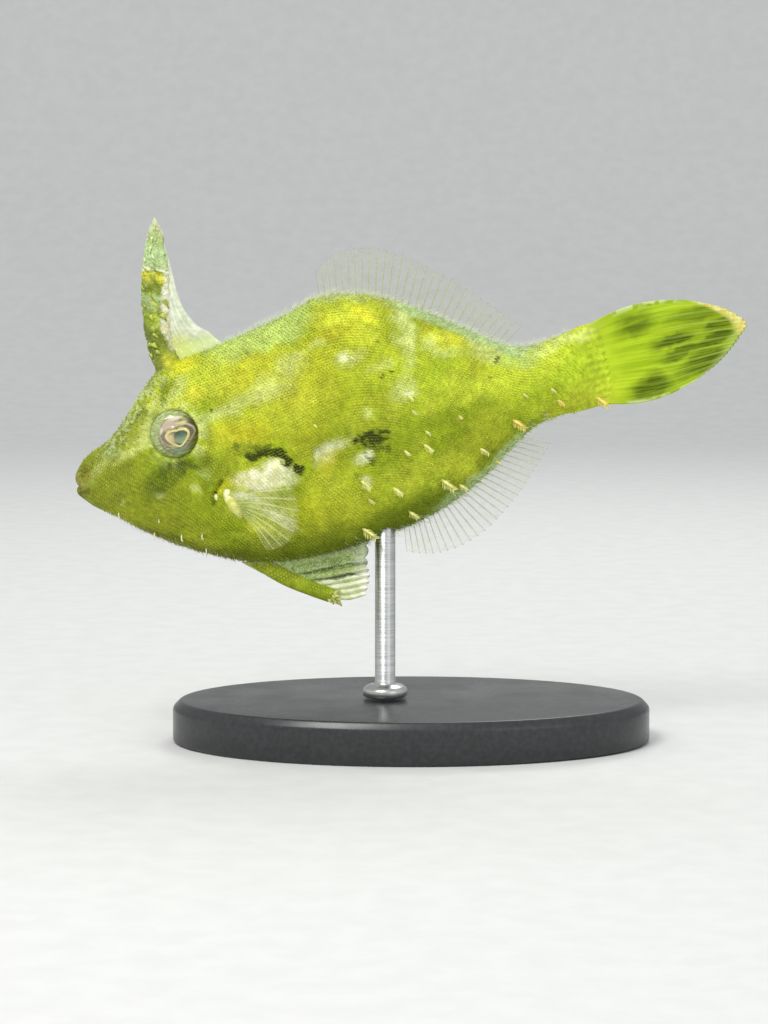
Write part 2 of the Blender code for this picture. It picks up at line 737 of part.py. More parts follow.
def make_membrane(skin):
    """The web between the spine and the back, in one column for each share of the way down its edge."""
    rows = MEMBRANE_ROWS
    top = MEMBRANE_EDGE[0][1]
    foot = MEMBRANE_EDGE[-1][1]
    columns = []
    for c in range(rows):
        share = c / (rows - 1)
        start_u, start_v = spine_rear(top + (foot - top) * share)
        passed = share * (len(MEMBRANE_EDGE) - 1)
        k = min(int(passed), len(MEMBRANE_EDGE) - 2)
        end_u, end_v = Vector(MEMBRANE_EDGE[k]).lerp(Vector(MEMBRANE_EDGE[k + 1]), passed - k)
        line = []
        for r in range(rows):
            out = r / (rows - 1)
            u = start_u + GAP + (end_u - start_u - GAP) * out
            v = start_v + (end_v - start_v) * out
            line.append(point(u, 0, max(v, back(u) + GAP)))
        columns.append(line)
    side = Vector((0, 1, 0))
    half = [MEMBRANE_HALF * (1 - MEMBRANE_THINNING * r / (rows - 1)) for r in range(rows)]
    web = ribbed_sheet("spine_membrane", columns, [half] * rows, [[side] * rows] * rows)
    dress(web, skin)
    return web


def dorsal_point(share, out):
    """A point (u, w, v) of the soft dorsal fin."""
    u = DORSAL_ROOT[0] + (DORSAL_ROOT[1] - DORSAL_ROOT[0]) * share
    lean = math.radians(smooth(DORSAL_LEAN, share))
    reach = smooth(DORSAL_RAY, share) * out
    wave = FIN_WAVE * math.sin(2 * math.pi * FIN_WAVE_COUNT * share) * out
    return (u + reach * math.cos(lean), wave, back(u) + FIN_GAP + reach * math.sin(lean))


def anal_point(share, out):
    """A point (u, w, v) of the anal fin."""
    u = ANAL_ROOT[0] + (ANAL_ROOT[1] - ANAL_ROOT[0]) * share
    lean = math.radians(smooth(ANAL_LEAN, share))
    reach = smooth(ANAL_RAY, share) * out
    wave = -FIN_WAVE * math.sin(2 * math.pi * FIN_WAVE_COUNT * share) * out
    return (u + reach * math.cos(lean), wave, belly(u) - FIN_GAP + reach * math.sin(lean))


def tail_point(share, out):
    """A point (u, w, v) of the tail fin, from its top ray to its lowest."""
    root = (TAIL_ROOT_U, back(TAIL_ROOT_U) * (1 - share) + belly(TAIL_ROOT_U) * share)
    edge = [smooth([(p[0], p[k]) for p in TAIL_EDGE], share) for k in (1, 2)]
    bulge = (TAIL_TOP_BULGE if share < 0.5 else TAIL_LOW_BULGE) * (1 - 2 * share) * math.sin(math.pi * out)
    return (root[0] + (edge[0] - root[0]) * out, 0.0, root[1] + (edge[1] - root[1]) * out + bulge)


def pectoral_point(side):
    """The function that gives a point (u, w, v) of one pectoral fin."""
    top, low = PECTORAL_ROOT

    def at(share, out):
        u = top[0] + (low[0] - top[0]) * share
        v = top[1] + (low[1] - top[1]) * share
        turn = PECTORAL_SPREAD[0] + (PECTORAL_SPREAD[1] - PECTORAL_SPREAD[0]) * share
        reach = smooth(PECTORAL_RAY, share) * out
        root_w = skin_width(u, v) + GAP + PECTORAL_STANDOFF
        w = root_w + reach * math.sin(PECTORAL_SPLAY) + PECTORAL_CUP * math.sin(math.pi * out)
        flat = reach * math.cos(PECTORAL_SPLAY)
        return (u + flat * math.cos(turn), side * w, v + flat * math.sin(turn))

    return at


def flap_line(points, share):
    return [smooth([(p[0], p[k]) for p in points], share) for k in (1, 2)]


def make_flap(skin):
    """The flap of skin behind the pelvic bone, folded along its rays, with a scalloped rear edge."""
    count = 2 * FLAP_FOLDS - 1
    rows = FLAP_ROWS
    columns = []
    halves = []
    for c in range(count):
        share = c / (count - 1)
        start = flap_line(PELVIC_BONE, share)
        end = flap_line(FLAP_EDGE, share)
        fold = c % 2 == 0
        line = []
        thick = []
        for r in range(rows):
            out = r / (rows - 1)
            longer = FLAP_SCALLOP * (1 if fold else -1) * ease((out - 0.7) / 0.3)
            u = start[0] + (end[0] - start[0]) * out + longer
            v = start[1] + (end[1] - start[1]) * out
            v = min(v, belly(u) - FLAP_GAP)
            line.append(point(u, FLAP_WAVE * math.sin(FLAP_WAVE_TURN * out) * share, v))
            body = FLAP_FOLD_HALF if fold else FLAP_VALLEY_HALF
            body += FLAP_ROOT_THICKENING * (1 - share) * (1 - out)
            thick.append(body + (FLAP_EDGE_HALF - body) * ease((out - 0.5) / 0.5))
        columns.append(line)
        halves.append(thick)
    side = Vector((0, 1, 0))
    flap = ribbed_sheet("pelvic_flap", columns, halves, [[side] * rows for _ in columns])
    # The exact solver leaves open edges where the barbs cross inside the bone
    combine(flap, [pelvic_bone()] + rudiment_barbs(), "UNION", "MANIFOLD")
    dress(flap, skin)
    return flap


def pelvic_bone():
    """The round bone that stiffens the front edge of the flap."""
    last = BONE_STEPS - 1
    path = []
    for i in range(BONE_STEPS):
        u, v = flap_line(PELVIC_BONE, BONE_START + (1 - BONE_START) * i / last)
        path.append(point(u + BONE_SHIFT[0], 0, v + BONE_SHIFT[1]))
    rings = []
    side = Vector((0, 1, 0))
    for i, place in enumerate(path):
        along = (path[min(i + 1, last)] - path[max(i - 1, 0)]).normalized()
        other = along.cross(side)
        size = BONE_RADIUS * (BONE_TOP_SHARE + (1 - BONE_TOP_SHARE) * i / last) * MM
        rings.append([place + (side * math.cos(t) + other * math.sin(t)) * size for t in turns(BONE_SIDES)])
    tip = path[-1] + (path[-1] - path[-2]).normalized() * RUDIMENT_RADIUS * MM
    return loft("pelvic_bone", rings, None, tip)


def rudiment_barbs():
    """The small spiny scales at the end of the pelvic bone."""
    u, v = flap_line(PELVIC_BONE, 1.0)
    barbs = []
    for k in range(RUDIMENT_BARBS):
        turn = RUDIMENT_FAN_START + RUDIMENT_FAN_STEP * k
        out = Vector((0.35, math.sin(turn), -0.6 - 0.5 * math.cos(turn))).normalized()
        root = point(u + 0.3 - 0.25 * (k % 2), 0, v)
        tip = root + out * RUDIMENT_BARB_LENGTH * MM
        barbs.append(spike("barb", [root, root.lerp(tip, 0.6), tip], RUDIMENT_BARB_RADII, 5))
    return barbs


def make_base(finish):
    """The flat oval plate of the stand."""
    bm = bmesh.new()
    bmesh.ops.create_cone(
        bm, cap_ends=True, segments=BASE_SIDES, radius1=0.5, radius2=0.5, depth=1.0,
        matrix=Matrix.Translation((0, 0, 0.5)),
    )
    bmesh.ops.scale(bm, verts=bm.verts, vec=Vector((BASE_LENGTH, BASE_WIDTH, BASE_HEIGHT)) * MM)
    top = [e for e in bm.edges if all(abs(v.co.z - BASE_HEIGHT * MM) < 1e-6 for v in e.verts)]
    bmesh.ops.bevel(
        bm, geom=top, offset=BASE_BEVEL * MM, segments=3, profile=0.5, affect="EDGES", material=-1
    )
    mesh = bpy.data.meshes.new("stand_base")
    bm.to_mesh(mesh)
    bm.free()
    base = bpy.data.objects.new("stand_base", mesh)
    bpy.context.scene.collection.objects.link(base)
    dress(base, finish)
    return base


def make_rod(fish, finish):
    """The rod with its foot, from just above the plate to just short of the end of the socket."""
    low = fish.matrix_world @ point(ROD_U, 0, belly(ROD_U))
    foot = BASE_HEIGHT + GAP
    collar = foot + BOSS_HEIGHT
    top = low.z / MM + SOCKET_DEPTH - GAP
    profile = (
        (BOSS_RADIUS, foot),
        (BOSS_RADIUS, collar - BOSS_CHAMFER),
        (BOSS_RADIUS - BOSS_CHAMFER, collar),
        (ROD_RADIUS, collar),
        (ROD_RADIUS, top - ROD_CHAMFER),
        (ROD_RADIUS - ROD_CHAMFER, top),
    )
    middle = low.x / MM
    rings = [
        [Vector((middle + r * math.cos(t), r * math.sin(t), z)) * MM for t in turns(ROD_SIDES)]
        for r, z in profile
    ]
    rod = loft("stand_rod", rings, None, None)
    dress(rod, finish)
    return rod


def clear_scene():
    for obj in list(bpy.data.objects):
        bpy.data.objects.remove(obj)


def main():
    clear_scene()
    fish = bpy.data.objects.new("filefish_frame", None)
    bpy.context.scene.collection.objects.link(fish)
    fish.location = Vector(SNOUT_PLACE) * MM
    fish.rotation_euler = (0.0, -NOSE_DOWN, 0.0)
    bpy.context.view_layer.update()

    skin = material("skin", (0.42, 0.52, 0.03), 0.5)
    clear_fin = material("fin", (0.6, 0.68, 0.4), 0.4)
    tail_skin = material("tail_fin", (0.38, 0.52, 0.04), 0.45)
    eye_gloss = material("eye", (0.45, 0.42, 0.3), 0.08)
    plate = material("stand_plate", (0.03, 0.032, 0.035), 0.35)
    steel = material("stand_steel", (0.6, 0.6, 0.6), 0.25, 1.0)

    draw = random.Random(7)
    pieces = make_body(skin, draw)
    for name, side in (("eye_left", -1), ("eye_right", 1)):
        ball = eye(name, side)
        dress(ball, eye_gloss)
        pieces.append(ball)
    pieces.append(make_spine(skin, draw))
    pieces.append(make_membrane(clear_fin))
    soft_dorsal = fin("soft_dorsal_fin", dorsal_point, DORSAL_RAYS)
    anal = fin("anal_fin", anal_point, ANAL_RAYS)
    pectorals = [
        fin(name, pectoral_point(side), PECTORAL_RAYS, root_half=PECTORAL_ROOT_HALF)
        for name, side in (("pectoral_fin_left", -1), ("pectoral_fin_right", 1))
    ]
    for obj in (soft_dorsal, anal, *pectorals):
        dress(obj, clear_fin)
        pieces.append(obj)
    tail_fin = fin("tail_fin", tail_point, TAIL_RAYS, rows=TAIL_ROWS, root_half=TAIL_ROOT_HALF)
    dress(tail_fin, tail_skin)
    pieces.append(tail_fin)
    pieces.append(make_flap(skin))
    for obj in pieces:
        obj.parent = fish
    for obj in (*pieces, make_base(plate), make_rod(fish, steel)):
        obj.data.shade_smooth()
        obj.data.set_sharp_from_angle(angle=SHARP_ANGLE)


main()
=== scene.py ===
"""The looks of the aiptasia-eating filefish model: skin, coat, fins, eyes, stand and studio.

The fish is drawn in its own frame in millimetres: u runs from the snout to the tail, w to the side away
from the camera and v towards the back. BodyForm.world() places such points in the model's frame, in metres.
"""

import functools
import itertools
import logging
import math
from dataclasses import dataclass
from enum import Enum
from typing import Callable

import bmesh
import bpy
import numpy as np
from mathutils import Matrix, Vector


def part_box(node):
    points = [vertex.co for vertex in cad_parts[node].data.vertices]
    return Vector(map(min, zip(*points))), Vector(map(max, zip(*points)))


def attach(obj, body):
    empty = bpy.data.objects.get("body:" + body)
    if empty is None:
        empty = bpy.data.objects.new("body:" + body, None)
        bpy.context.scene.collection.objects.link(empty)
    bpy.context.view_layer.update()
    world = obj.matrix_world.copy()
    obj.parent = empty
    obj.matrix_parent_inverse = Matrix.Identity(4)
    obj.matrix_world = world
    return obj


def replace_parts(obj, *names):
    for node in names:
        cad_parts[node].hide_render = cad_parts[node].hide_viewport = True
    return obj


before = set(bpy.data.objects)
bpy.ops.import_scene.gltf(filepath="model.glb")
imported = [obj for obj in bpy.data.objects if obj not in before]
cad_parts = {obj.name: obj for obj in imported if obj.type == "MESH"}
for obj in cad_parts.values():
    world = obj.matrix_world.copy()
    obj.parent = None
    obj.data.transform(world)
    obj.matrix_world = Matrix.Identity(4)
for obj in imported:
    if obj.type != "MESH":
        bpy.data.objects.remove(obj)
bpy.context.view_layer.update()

# The millimetre in metres, the body that every piece rides on, the size of a bristle's patch on the map OFBake,
# the millimetres of skin that fill its map and where the snout lies on it, the rays that fill a fin's map, and
# the numbers that scramble the noise
MM = 0.001
BODY = "root"
BAKE_PATCH = 0.003
SKIN_MAP = 100.0
SKIN_MAP_START = 0.05
RAY_MAP = 40.0
NOISE_PRIMES = (374761393, 668265263, 2147483629, 97531)
NOISE_MIX = 1274126177
LOG = logging.getLogger("filefish")
Array = np.ndarray
Material = bpy.types.Material
Colour = tuple[float, float, float]
Places = tuple[Array, Array, Array]


def srgb(red: float, green: float, blue: float) -> Colour:
    """Turns a colour of 0 to 255 as seen on a screen into the linear values that shaders take."""
    channels = np.array((red, green, blue)) / 255
    linear = np.where(channels <= 0.04045, channels / 12.92, ((channels + 0.055) / 1.055) ** 2.4)
    return tuple(float(c) for c in linear)


def ease(t: Array | float) -> Array:
    """A smooth step from 0 to 1."""
    t = np.clip(t, 0.0, 1.0)
    return t * t * (3 - 2 * t)


def bell(t: Array | float) -> Array:
    """A smooth bump that is 1 at 0 and fades to 0 at 1 and beyond, on both sides."""
    return 1 - ease(np.abs(t))


def turned(along: Array, up: Array, degrees: float) -> tuple[Array, Array]:
    """The same distances, but along and across a line that is turned up by an angle."""
    cos, sin = math.cos(math.radians(degrees)), math.sin(math.radians(degrees))
    return along * cos + up * sin, up * cos - along * sin


def unit(vectors: Array) -> Array:
    """The directions of vectors, which lie along the last axis."""
    return vectors / np.maximum(np.linalg.norm(vectors, axis=-1, keepdims=True), 1e-12)


def hump(share: Array) -> Array:
    """A curve that rises from 0 to 1 at a half and falls to 0 at 1."""
    return np.sin(np.pi * np.clip(share, 0, 1))


def cloud(points: Array, size: float, seed: int = 0) -> Array:
    """Smooth noise that is the same each run.

    Args:
        points: Places, with x, y and z along the last axis.
        size: The size of its features.
        seed: Which noise.

    Returns:
        A value from 0 to 1 for each place.
    """
    cell = points / size
    base = np.floor(cell).astype(np.int64)
    share = ease(cell - base)
    total = np.zeros(points.shape[:-1])
    for corner in np.ndindex(2, 2, 2):
        x, y, z = np.moveaxis(base + corner, -1, 0)
        mixed = sum(part * prime for part, prime in zip((x, y, z, seed), NOISE_PRIMES)) & 0xFFFFFFFF
        mixed = ((mixed ^ (mixed >> 13)) * NOISE_MIX) & 0xFFFFFFFF
        weight = np.prod(np.where(corner, share, 1 - share), axis=-1)
        total += weight * ((mixed ^ (mixed >> 16)) & 0xFFFF) / 0xFFFF
    return total


class Side(Enum):
    """The sides of the fish, of which the left one is near the camera."""

    LEFT = -1
    RIGHT = 1

    @property
    def word(self) -> str:
        """The side's word in the names of pieces."""
        return self.name.lower()


class Paint(Enum):
    """The paints of the skin."""

    BASE = srgb(190, 202, 50)
    SNOUT = srgb(132, 142, 38)
    CHIN = srgb(152, 162, 38)
    MOSS = srgb(98, 116, 22)
    OLIVE = srgb(142, 156, 30)
    DEEP = srgb(72, 94, 20)
    GOLD = srgb(210, 208, 50)
    LIME = srgb(190, 214, 48)
    LEAF = srgb(164, 184, 34)
    YELLOW = srgb(218, 226, 70)
    SUN = srgb(236, 230, 58)
    MINT = srgb(192, 216, 150)
    DEW = srgb(200, 222, 122)
    AMBER = srgb(186, 176, 26)
    BROW = srgb(150, 160, 66)
    PALE = srgb(226, 236, 148)
    CREAM = srgb(255, 255, 226)
    BLUSH = srgb(172, 152, 104)
    INK = srgb(34, 40, 6)
    RUST = srgb(132, 74, 44)
    FROST = srgb(228, 236, 190)
    UMBER = srgb(92, 92, 30)

    def lay(self, colours: Array, cover: Array) -> None:
        """Paints over colours in place, by how much of each it covers."""
        colours += cover[..., None] * (np.array(self.value) - colours)


@dataclass(frozen=True)
class Profile:
    """A smooth curve through (place, value) stations.

    Attributes:
        stations: The places in rising order, each with its value.
        rooted: Whether places are spread by their square root, for a line that starts steeply.
    """

    stations: tuple[tuple[float, float], ...]
    rooted: bool = False

    def __call__(self, at: Array | float) -> Array:
        """Gives the value at each place, held at the ends.

        Args:
            at: The places.

        Returns:
            The values, in the shape of the places.
        """
        places, values = np.array(self.stations, float).T
        at = np.asarray(at, float)
        if self.rooted:
            places, at = np.sqrt(places), np.sqrt(np.maximum(at, 0.0))
        spans = np.diff(places)
        slopes = np.diff(values) / spans
        inner = (slopes[:-1] * spans[1:] + slopes[1:] * spans[:-1]) / (spans[:-1] + spans[1:])
        tangents = np.concatenate(([slopes[0]], inner, [slopes[-1]]))
        at = np.clip(at, places[0], places[-1])
        i = np.clip(np.searchsorted(places, at, side="right") - 1, 0, len(spans) - 1)
        t = (at - places[i]) / spans[i]
        held = values[i] * (1 + 2 * t) * (1 - t) ** 2 + values[i + 1] * t * t * (3 - 2 * t)
        return held + spans[i] * t * (1 - t) * (tangents[i] * (1 - t) - tangents[i + 1] * t)


def profiles(*rows: tuple[float, ...]) -> tuple[Profile, ...]:
    """One profile for each further column of a table whose first column holds the places."""
    places, *columns = zip(*rows)
    return tuple(Profile(tuple(zip(places, column))) for column in columns)


@dataclass(frozen=True)
class BodyForm:
    """The shape of the body without its details, as the solids have it."""

    snout_place: tuple[float, float, float] = (-39.07, 0.0, 31.0)
    nose_down: float = math.radians(13.0)
    total_length: float = 80.3
    tail_swing: float = 2.6
    swing_start: float = 42.0
    keel_sharpness: float = 1.32
    keel_full_at: float = 18.0
    eye: tuple[float, float] = (12.7, 2.6)
    back: Profile = Profile((
        (0.0, -0.7), (0.3, 0.7), (1.0, 1.6), (2.4, 2.5), (4.4, 3.3), (6.5, 4.8), (8.8, 7.1), (10.8, 9.0),
        (12.6, 10.1), (15.0, 10.6), (18.5, 11.1), (22.9, 11.9), (28.6, 13.1), (31.2, 13.9), (34.0, 14.0),
        (37.2, 13.3), (42.5, 10.6), (48.7, 6.2), (52.6, 3.6), (55.0, 3.0), (57.4, 3.3), (62.0, 4.3),
    ), True)
    belly: Profile = Profile((
        (0.0, -0.7), (0.2, -2.1), (1.0, -3.4), (2.2, -4.4), (3.8, -5.6), (5.8, -7.4), (8.4, -9.3),
        (11.0, -11.0), (13.7, -12.4), (16.5, -13.7), (20.0, -14.7), (25.0, -15.2), (30.7, -14.9),
        (35.3, -14.3), (40.3, -13.2), (45.9, -10.7), (50.9, -7.5), (53.5, -6.1), (55.8, -5.6), (59.0, -5.6),
        (62.0, -5.6),
    ), True)
    half_width: Profile = Profile((
        (0.0, 0.0), (0.3, 0.95), (1.0, 1.4), (3.0, 1.95), (6.0, 2.8), (10.0, 3.9), (14.0, 4.6), (18.0, 5.0),
        (24.0, 5.2), (30.0, 5.0), (38.0, 4.3), (46.0, 3.1), (53.0, 2.1), (58.0, 1.6), (62.0, 1.1),
    ), True)
    middle: Profile = Profile((
        (0.0, -0.7), (10.0, 0.0), (20.0, -2.0), (35.0, -1.6), (55.0, -1.3), (62.0, -0.6),
    ))

    def keel(self, u: Array) -> Array:
        """How sharply each section narrows to its back and belly, where 1 is an ellipse."""
        return 1 + (self.keel_sharpness - 1) * ease(u / self.keel_full_at)

    def section(self, u: Array, angle: Array) -> tuple[Array, Array]:
        """The width and height of the skin at stations and angles.

        Args:
            u: The stations.
            angle: The angles round the section: 0 is the far side and a quarter turn is the back.

        Returns:
            The places w and v.
        """
        rise, side = np.sin(angle), np.cos(angle)
        middle = self.middle(u)
        v = middle + rise * np.where(rise > 0, self.back(u) - middle, middle - self.belly(u))
        return np.sign(side) * self.half_width(u) * np.abs(side) ** self.keel(u), v

    def skin_width(self, u: Array, v: Array) -> Array:
        """Half the width of the body at stations and heights."""
        middle = self.middle(u)
        reach = np.where(v > middle, self.back(u) - middle, middle - self.belly(u))
        rise = np.clip(np.abs(v - middle) / reach, 0.0, 1.0)
        return self.half_width(u) * (1 - rise * rise) ** (self.keel(u) / 2)

    def world(self, u: Array, w: Array, v: Array) -> Array:
        """Places in the model's frame, in metres, of points of the fish's frame, in millimetres.

        Args:
            u: Distances along the fish.
            w: Distances to its far side, before the swing of the tail.
            v: Heights.

        Returns:
            An array whose last axis is x, y, z.
        """
        u, w, v = np.broadcast_arrays(np.asarray(u, float), w, v)
        swung = np.maximum(u - self.swing_start, 0) / (self.total_length - self.swing_start)
        swing = self.tail_swing * swung ** 2
        cos, sin = math.cos(self.nose_down), math.sin(self.nose_down)
        x, y, z = self.snout_place
        return np.stack((x + u * cos - v * sin, y + w + swing, z + u * sin + v * cos), -1) * MM

    def fish(self, place: Array) -> Places:
        """The fish's own u, w and v, in millimetres, of places in the model's frame, in metres."""
        x, y, z = (np.asarray(place) / MM - self.snout_place).T
        cos, sin = math.cos(self.nose_down), math.sin(self.nose_down)
        return x * cos + z * sin, y, z * cos - x * sin


FORM = BodyForm()


class Field:
    """A node's output socket that takes part in Python expressions, each of which adds its node."""

    def __init__(self, graph: "Graph", socket: bpy.types.NodeSocket) -> None:
        """Keeps the graph and the socket."""
        self.graph = graph
        self.socket = socket

    def math(self, operation: str, *others: "Field | float") -> "Field":
        """Adds a Math node with this value first."""
        return self.graph.value(operation, self, *others)

    def vector(self, operation: str, *others: "Field | tuple", **sockets: "Field | float") -> "Field":
        """Adds a Vector Math node with this vector first."""
        return self.graph.node("VectorMath", {"operation": operation}, (self, *others), **sockets)

    def __add__(self, other: "Field | float") -> "Field":
        """Adds two values."""
        return self.math("ADD", other)

    def __sub__(self, other: "Field | float") -> "Field":
        """Takes a value from this one."""
        return self.math("SUBTRACT", other)

    def __rsub__(self, other: float) -> "Field":
        """Takes this value from a number."""
        return self.graph.value("SUBTRACT", other, self)

    def __mul__(self, other: "Field | float") -> "Field":
        """Multiplies two values."""
        return self.math("MULTIPLY", other)

    __radd__ = __add__
    __rmul__ = __mul__

    def high(self, other: "Field | float") -> "Field":
        """The higher of two values."""
        return self.math("MAXIMUM", other)

    def low(self, other: "Field | float") -> "Field":
        """The lower of two values."""
        return self.math("MINIMUM", other)

    def step(self, start: float, end: float, low: float = 0.0, high: float = 1.0) -> "Field":
        """A smooth step of this value.

        Args:
            start: Where the step starts; it may lie above its end for a falling step.
            end: Where the step ends.
            low: The result at the start.
            high: The result at the end.

        Returns:
            The stepped value.
        """
        if start > end:
            start, end, low, high = end, start, high, low
        settings = {"interpolation_type": "SMOOTHSTEP"}
        return self.graph.node("MapRange", settings, (self, start, end, low, high))

    def near(self, value: float, outer: float, inner: float) -> "Field":
        """1 close to a value, fading from the inner to the outer distance from it."""
        return (self - value).math("ABSOLUTE").step(outer, inner)

    def parts(self) -> tuple["Field", "Field", "Field"]:
        """The three parts of this vector."""
        made = self.graph.raw("SeparateXYZ", {}, (self,))
        return tuple(Field(self.graph, made.outputs[i]) for i in range(3))


class Graph:
    """The node graph of one material."""

    def __init__(self, name: str, clear: bool = False) -> None:
        """Starts a material.

        Args:
            name: The material's name.
            clear: Whether light passes where its alpha is low.
        """
        self.material = bpy.data.materials.new(name)
        self.material.use_nodes = True
        self.tree = self.material.node_tree
        self.shader = self.tree.nodes["Principled BSDF"]
        if clear:
            self.material.surface_render_method = "BLENDED"

    def raw(self, kind: str, settings: dict, inputs: tuple = (), **named: object) -> bpy.types.Node:
        """Adds any node.

        Args:
            kind: The node's type, without its prefix of ShaderNode.
            settings: Its properties, which are set first.
            inputs: Values or links of its enabled sockets, in order.
            named: Values or links of sockets by name, with _ for a space.

        Returns:
            The node.
        """
        made = self.tree.nodes.new("ShaderNode" + kind)
        for key, value in settings.items():
            setattr(made, key, value)
        enabled = [s for s in made.inputs if s.enabled]
        for socket, value in zip(enabled, inputs):
            self.feed(socket, value)
        for key, value in named.items():
            self.feed(next(s for s in enabled if s.name == key.replace("_", " ")), value)
        return made

    def node(self, kind: str, settings: dict | None = None, inputs: tuple = (), **named: object) -> Field:
        """Adds any node and gives its first enabled output."""
        made = self.raw(kind, settings or {}, inputs, **named)
        return Field(self, next(s for s in made.outputs if s.enabled))

    def value(self, operation: str, *values: "Field | float") -> Field:
        """Adds a Math node."""
        return self.node("Math", {"operation": operation}, values)

    def feed(self, socket: bpy.types.NodeSocket, value: object) -> None:
        """Links a socket to a field, or sets its value."""
        if isinstance(value, Field):
            self.tree.links.new(value.socket, socket)
        elif isinstance(value, tuple) and len(value) == 3 and socket.type == "RGBA":
            socket.default_value = (*value, 1.0)
        else:
            socket.default_value = value

    def mix(self, share: "Field | float", first: "Field | Colour", second: "Field | Colour") -> Field:
        """Mixes two colours by a share of the second."""
        return self.node("Mix", {"data_type": "RGBA"}, (share, first, second))

    def scale_colour(self, colour: "Field | Colour", by: "Field | float") -> Field:
        """Makes a colour lighter or darker."""
        base = colour if isinstance(colour, Field) else self.node("RGB")
        if not isinstance(colour, Field):
            base.socket.default_value = (*colour, 1.0)
        return base.vector("SCALE", Scale=by)

    def coordinates(self) -> Field:
        """Object coordinates, in metres in the model's frame."""
        return Field(self, self.raw("TexCoord", {}).outputs["Object"])

    def fish(self) -> Field:
        """The fish's own coordinates (u, w, v), in millimetres."""
        place = tuple(p * MM for p in FORM.snout_place)
        return self.node("Mapping", {"vector_type": "TEXTURE"}, (
            self.coordinates(), place, (0.0, -FORM.nose_down, 0.0), (MM, MM, MM),
        ))

    def uv(self, name: str) -> Field:
        """A UV map by name."""
        return self.node("UVMap", {"uv_map": name})

    def attribute(self, name: str) -> Field:
        """A colour that the mesh's own vertices carry."""
        return Field(self, self.raw("Attribute", {"attribute_name": name}).outputs["Color"])

    def noise(self, at: Field, size: float, detail: float = 2.0, roughness: float = 0.5) -> Field:
        """Cloudy noise of about 0 to 1 whose features are about the given size."""
        return self.node("TexNoise", {}, (at,), Scale=1 / size, Detail=detail, Roughness=roughness)

    def warp(self, at: Field, size: float, reach: float) -> Field:
        """Coordinates shifted by noise with features of a size, by about the reach at most."""
        made = Field(self, self.raw("TexNoise", {}, (at,), Scale=1 / size, Detail=2.0).outputs["Color"])
        return at.vector("ADD", made.vector("SUBTRACT", (0.5, 0.5, 0.5)).vector("SCALE", Scale=2 * reach))

    def off_ray(self, across: Field) -> Field:
        """How far a place of a fin's map is from its nearest ray: 0 on it, 0.5 between two."""
        turn = (across * RAY_MAP).math("FRACT")
        return turn.low(1.0 - turn)

    def bump(self, height: Field, distance: float, strength: float = 1.0) -> Field:
        """A bumped normal, with the height's unit given in metres."""
        return self.node("Bump", {}, (strength, distance), Height=height)

    def finish(self, **sockets: object) -> Material:
        """Feeds the shader's sockets, by name with _ for a space, and gives the material."""
        for key, value in sockets.items():
            self.feed(self.shader.inputs[key.replace("_", " ")], value)
        return self.material


def smooth_object(name: str, bm: bmesh.types.BMesh, material: Material) -> bpy.types.Object:
    """Turns a bmesh, which is freed, into a smoothly shaded object with a finish."""
    mesh = bpy.data.meshes.new(name)
    bm.to_mesh(mesh)
    bm.free()
    made = bpy.data.objects.new(name, mesh)
    bpy.context.scene.collection.objects.link(made)
    mesh.materials.append(material)
    mesh.polygons.foreach_set("use_smooth", np.full(len(mesh.polygons), True))
    return made


def make_object(name: str, bm: bmesh.types.BMesh, material: Material) -> bpy.types.Object:
    """Turns a bmesh into a piece that rides on the fish.

    Args:
        name: The piece's name.
        bm: Its shape, which is freed.
        material: Its finish.

    Returns:
        The object.
    """
    made = smooth_object(name, bm, material)
    mesh = made.data
    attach(made, BODY)
    LOG.info("%s: %d triangles", name, sum(len(p.vertices) - 2 for p in mesh.polygons))
    return made


def sheet(
    rows: int, columns: int, place: Callable, layers: dict[str, Callable] | None = None,
) -> bmesh.types.BMesh:
    """A surface over the unit square, from an operator's grid whose vertices are moved to their places.

    Args:
        rows: The number of faces along s.
        columns: The number of faces along t.
        place: Gives places in metres from arrays of s and t.
        layers: Gives for each UV map's name the function of s and t that lays it out.

    Returns:
        The bmesh, with doubles merged, so that sleeves and poles are closed.
    """
    bm = bmesh.new()
    bmesh.ops.create_grid(bm, x_segments=rows, y_segments=columns, size=0.5)
    flat = np.array([v.co for v in bm.verts]) + 0.5
    s, t = np.round(flat[:, 0] * rows) / rows, np.round(flat[:, 1] * columns) / columns
    for name, lay in (layers or {}).items():
        layer = bm.loops.layers.uv.new(name)
        across, along = lay(s, t)
        for face in bm.faces:
            for loop in face.loops:
                i = loop.vert.index
                loop[layer].uv = (across[i], along[i])
    for vertex, co in zip(bm.verts, place(s, t)):
        vertex.co = co
    bmesh.ops.remove_doubles(bm, verts=bm.verts, dist=2e-7)
    bmesh.ops.recalc_face_normals(bm, faces=bm.faces)
    return bm


@dataclass(frozen=True)
class Mark:
    """A painted marking with a soft, frayed edge, in the fish's frame.

    Attributes:
        u: The place of its middle along the fish.
        v: The height of its middle.
        long_half: Half its length.
        high_half: Half its height.
        turn: How far its length is turned up from the fish's axis, in degrees.
        paint: Its paint.
        strength: How much it covers.
        fray: How softly it fades: 1 fades from its middle.
        grain: How much single scales break it up.
    """

    u: float
    v: float
    long_half: float
    high_half: float
    turn: float
    paint: Paint
    strength: float
    fray: float = 0.95
    grain: float = 0.0


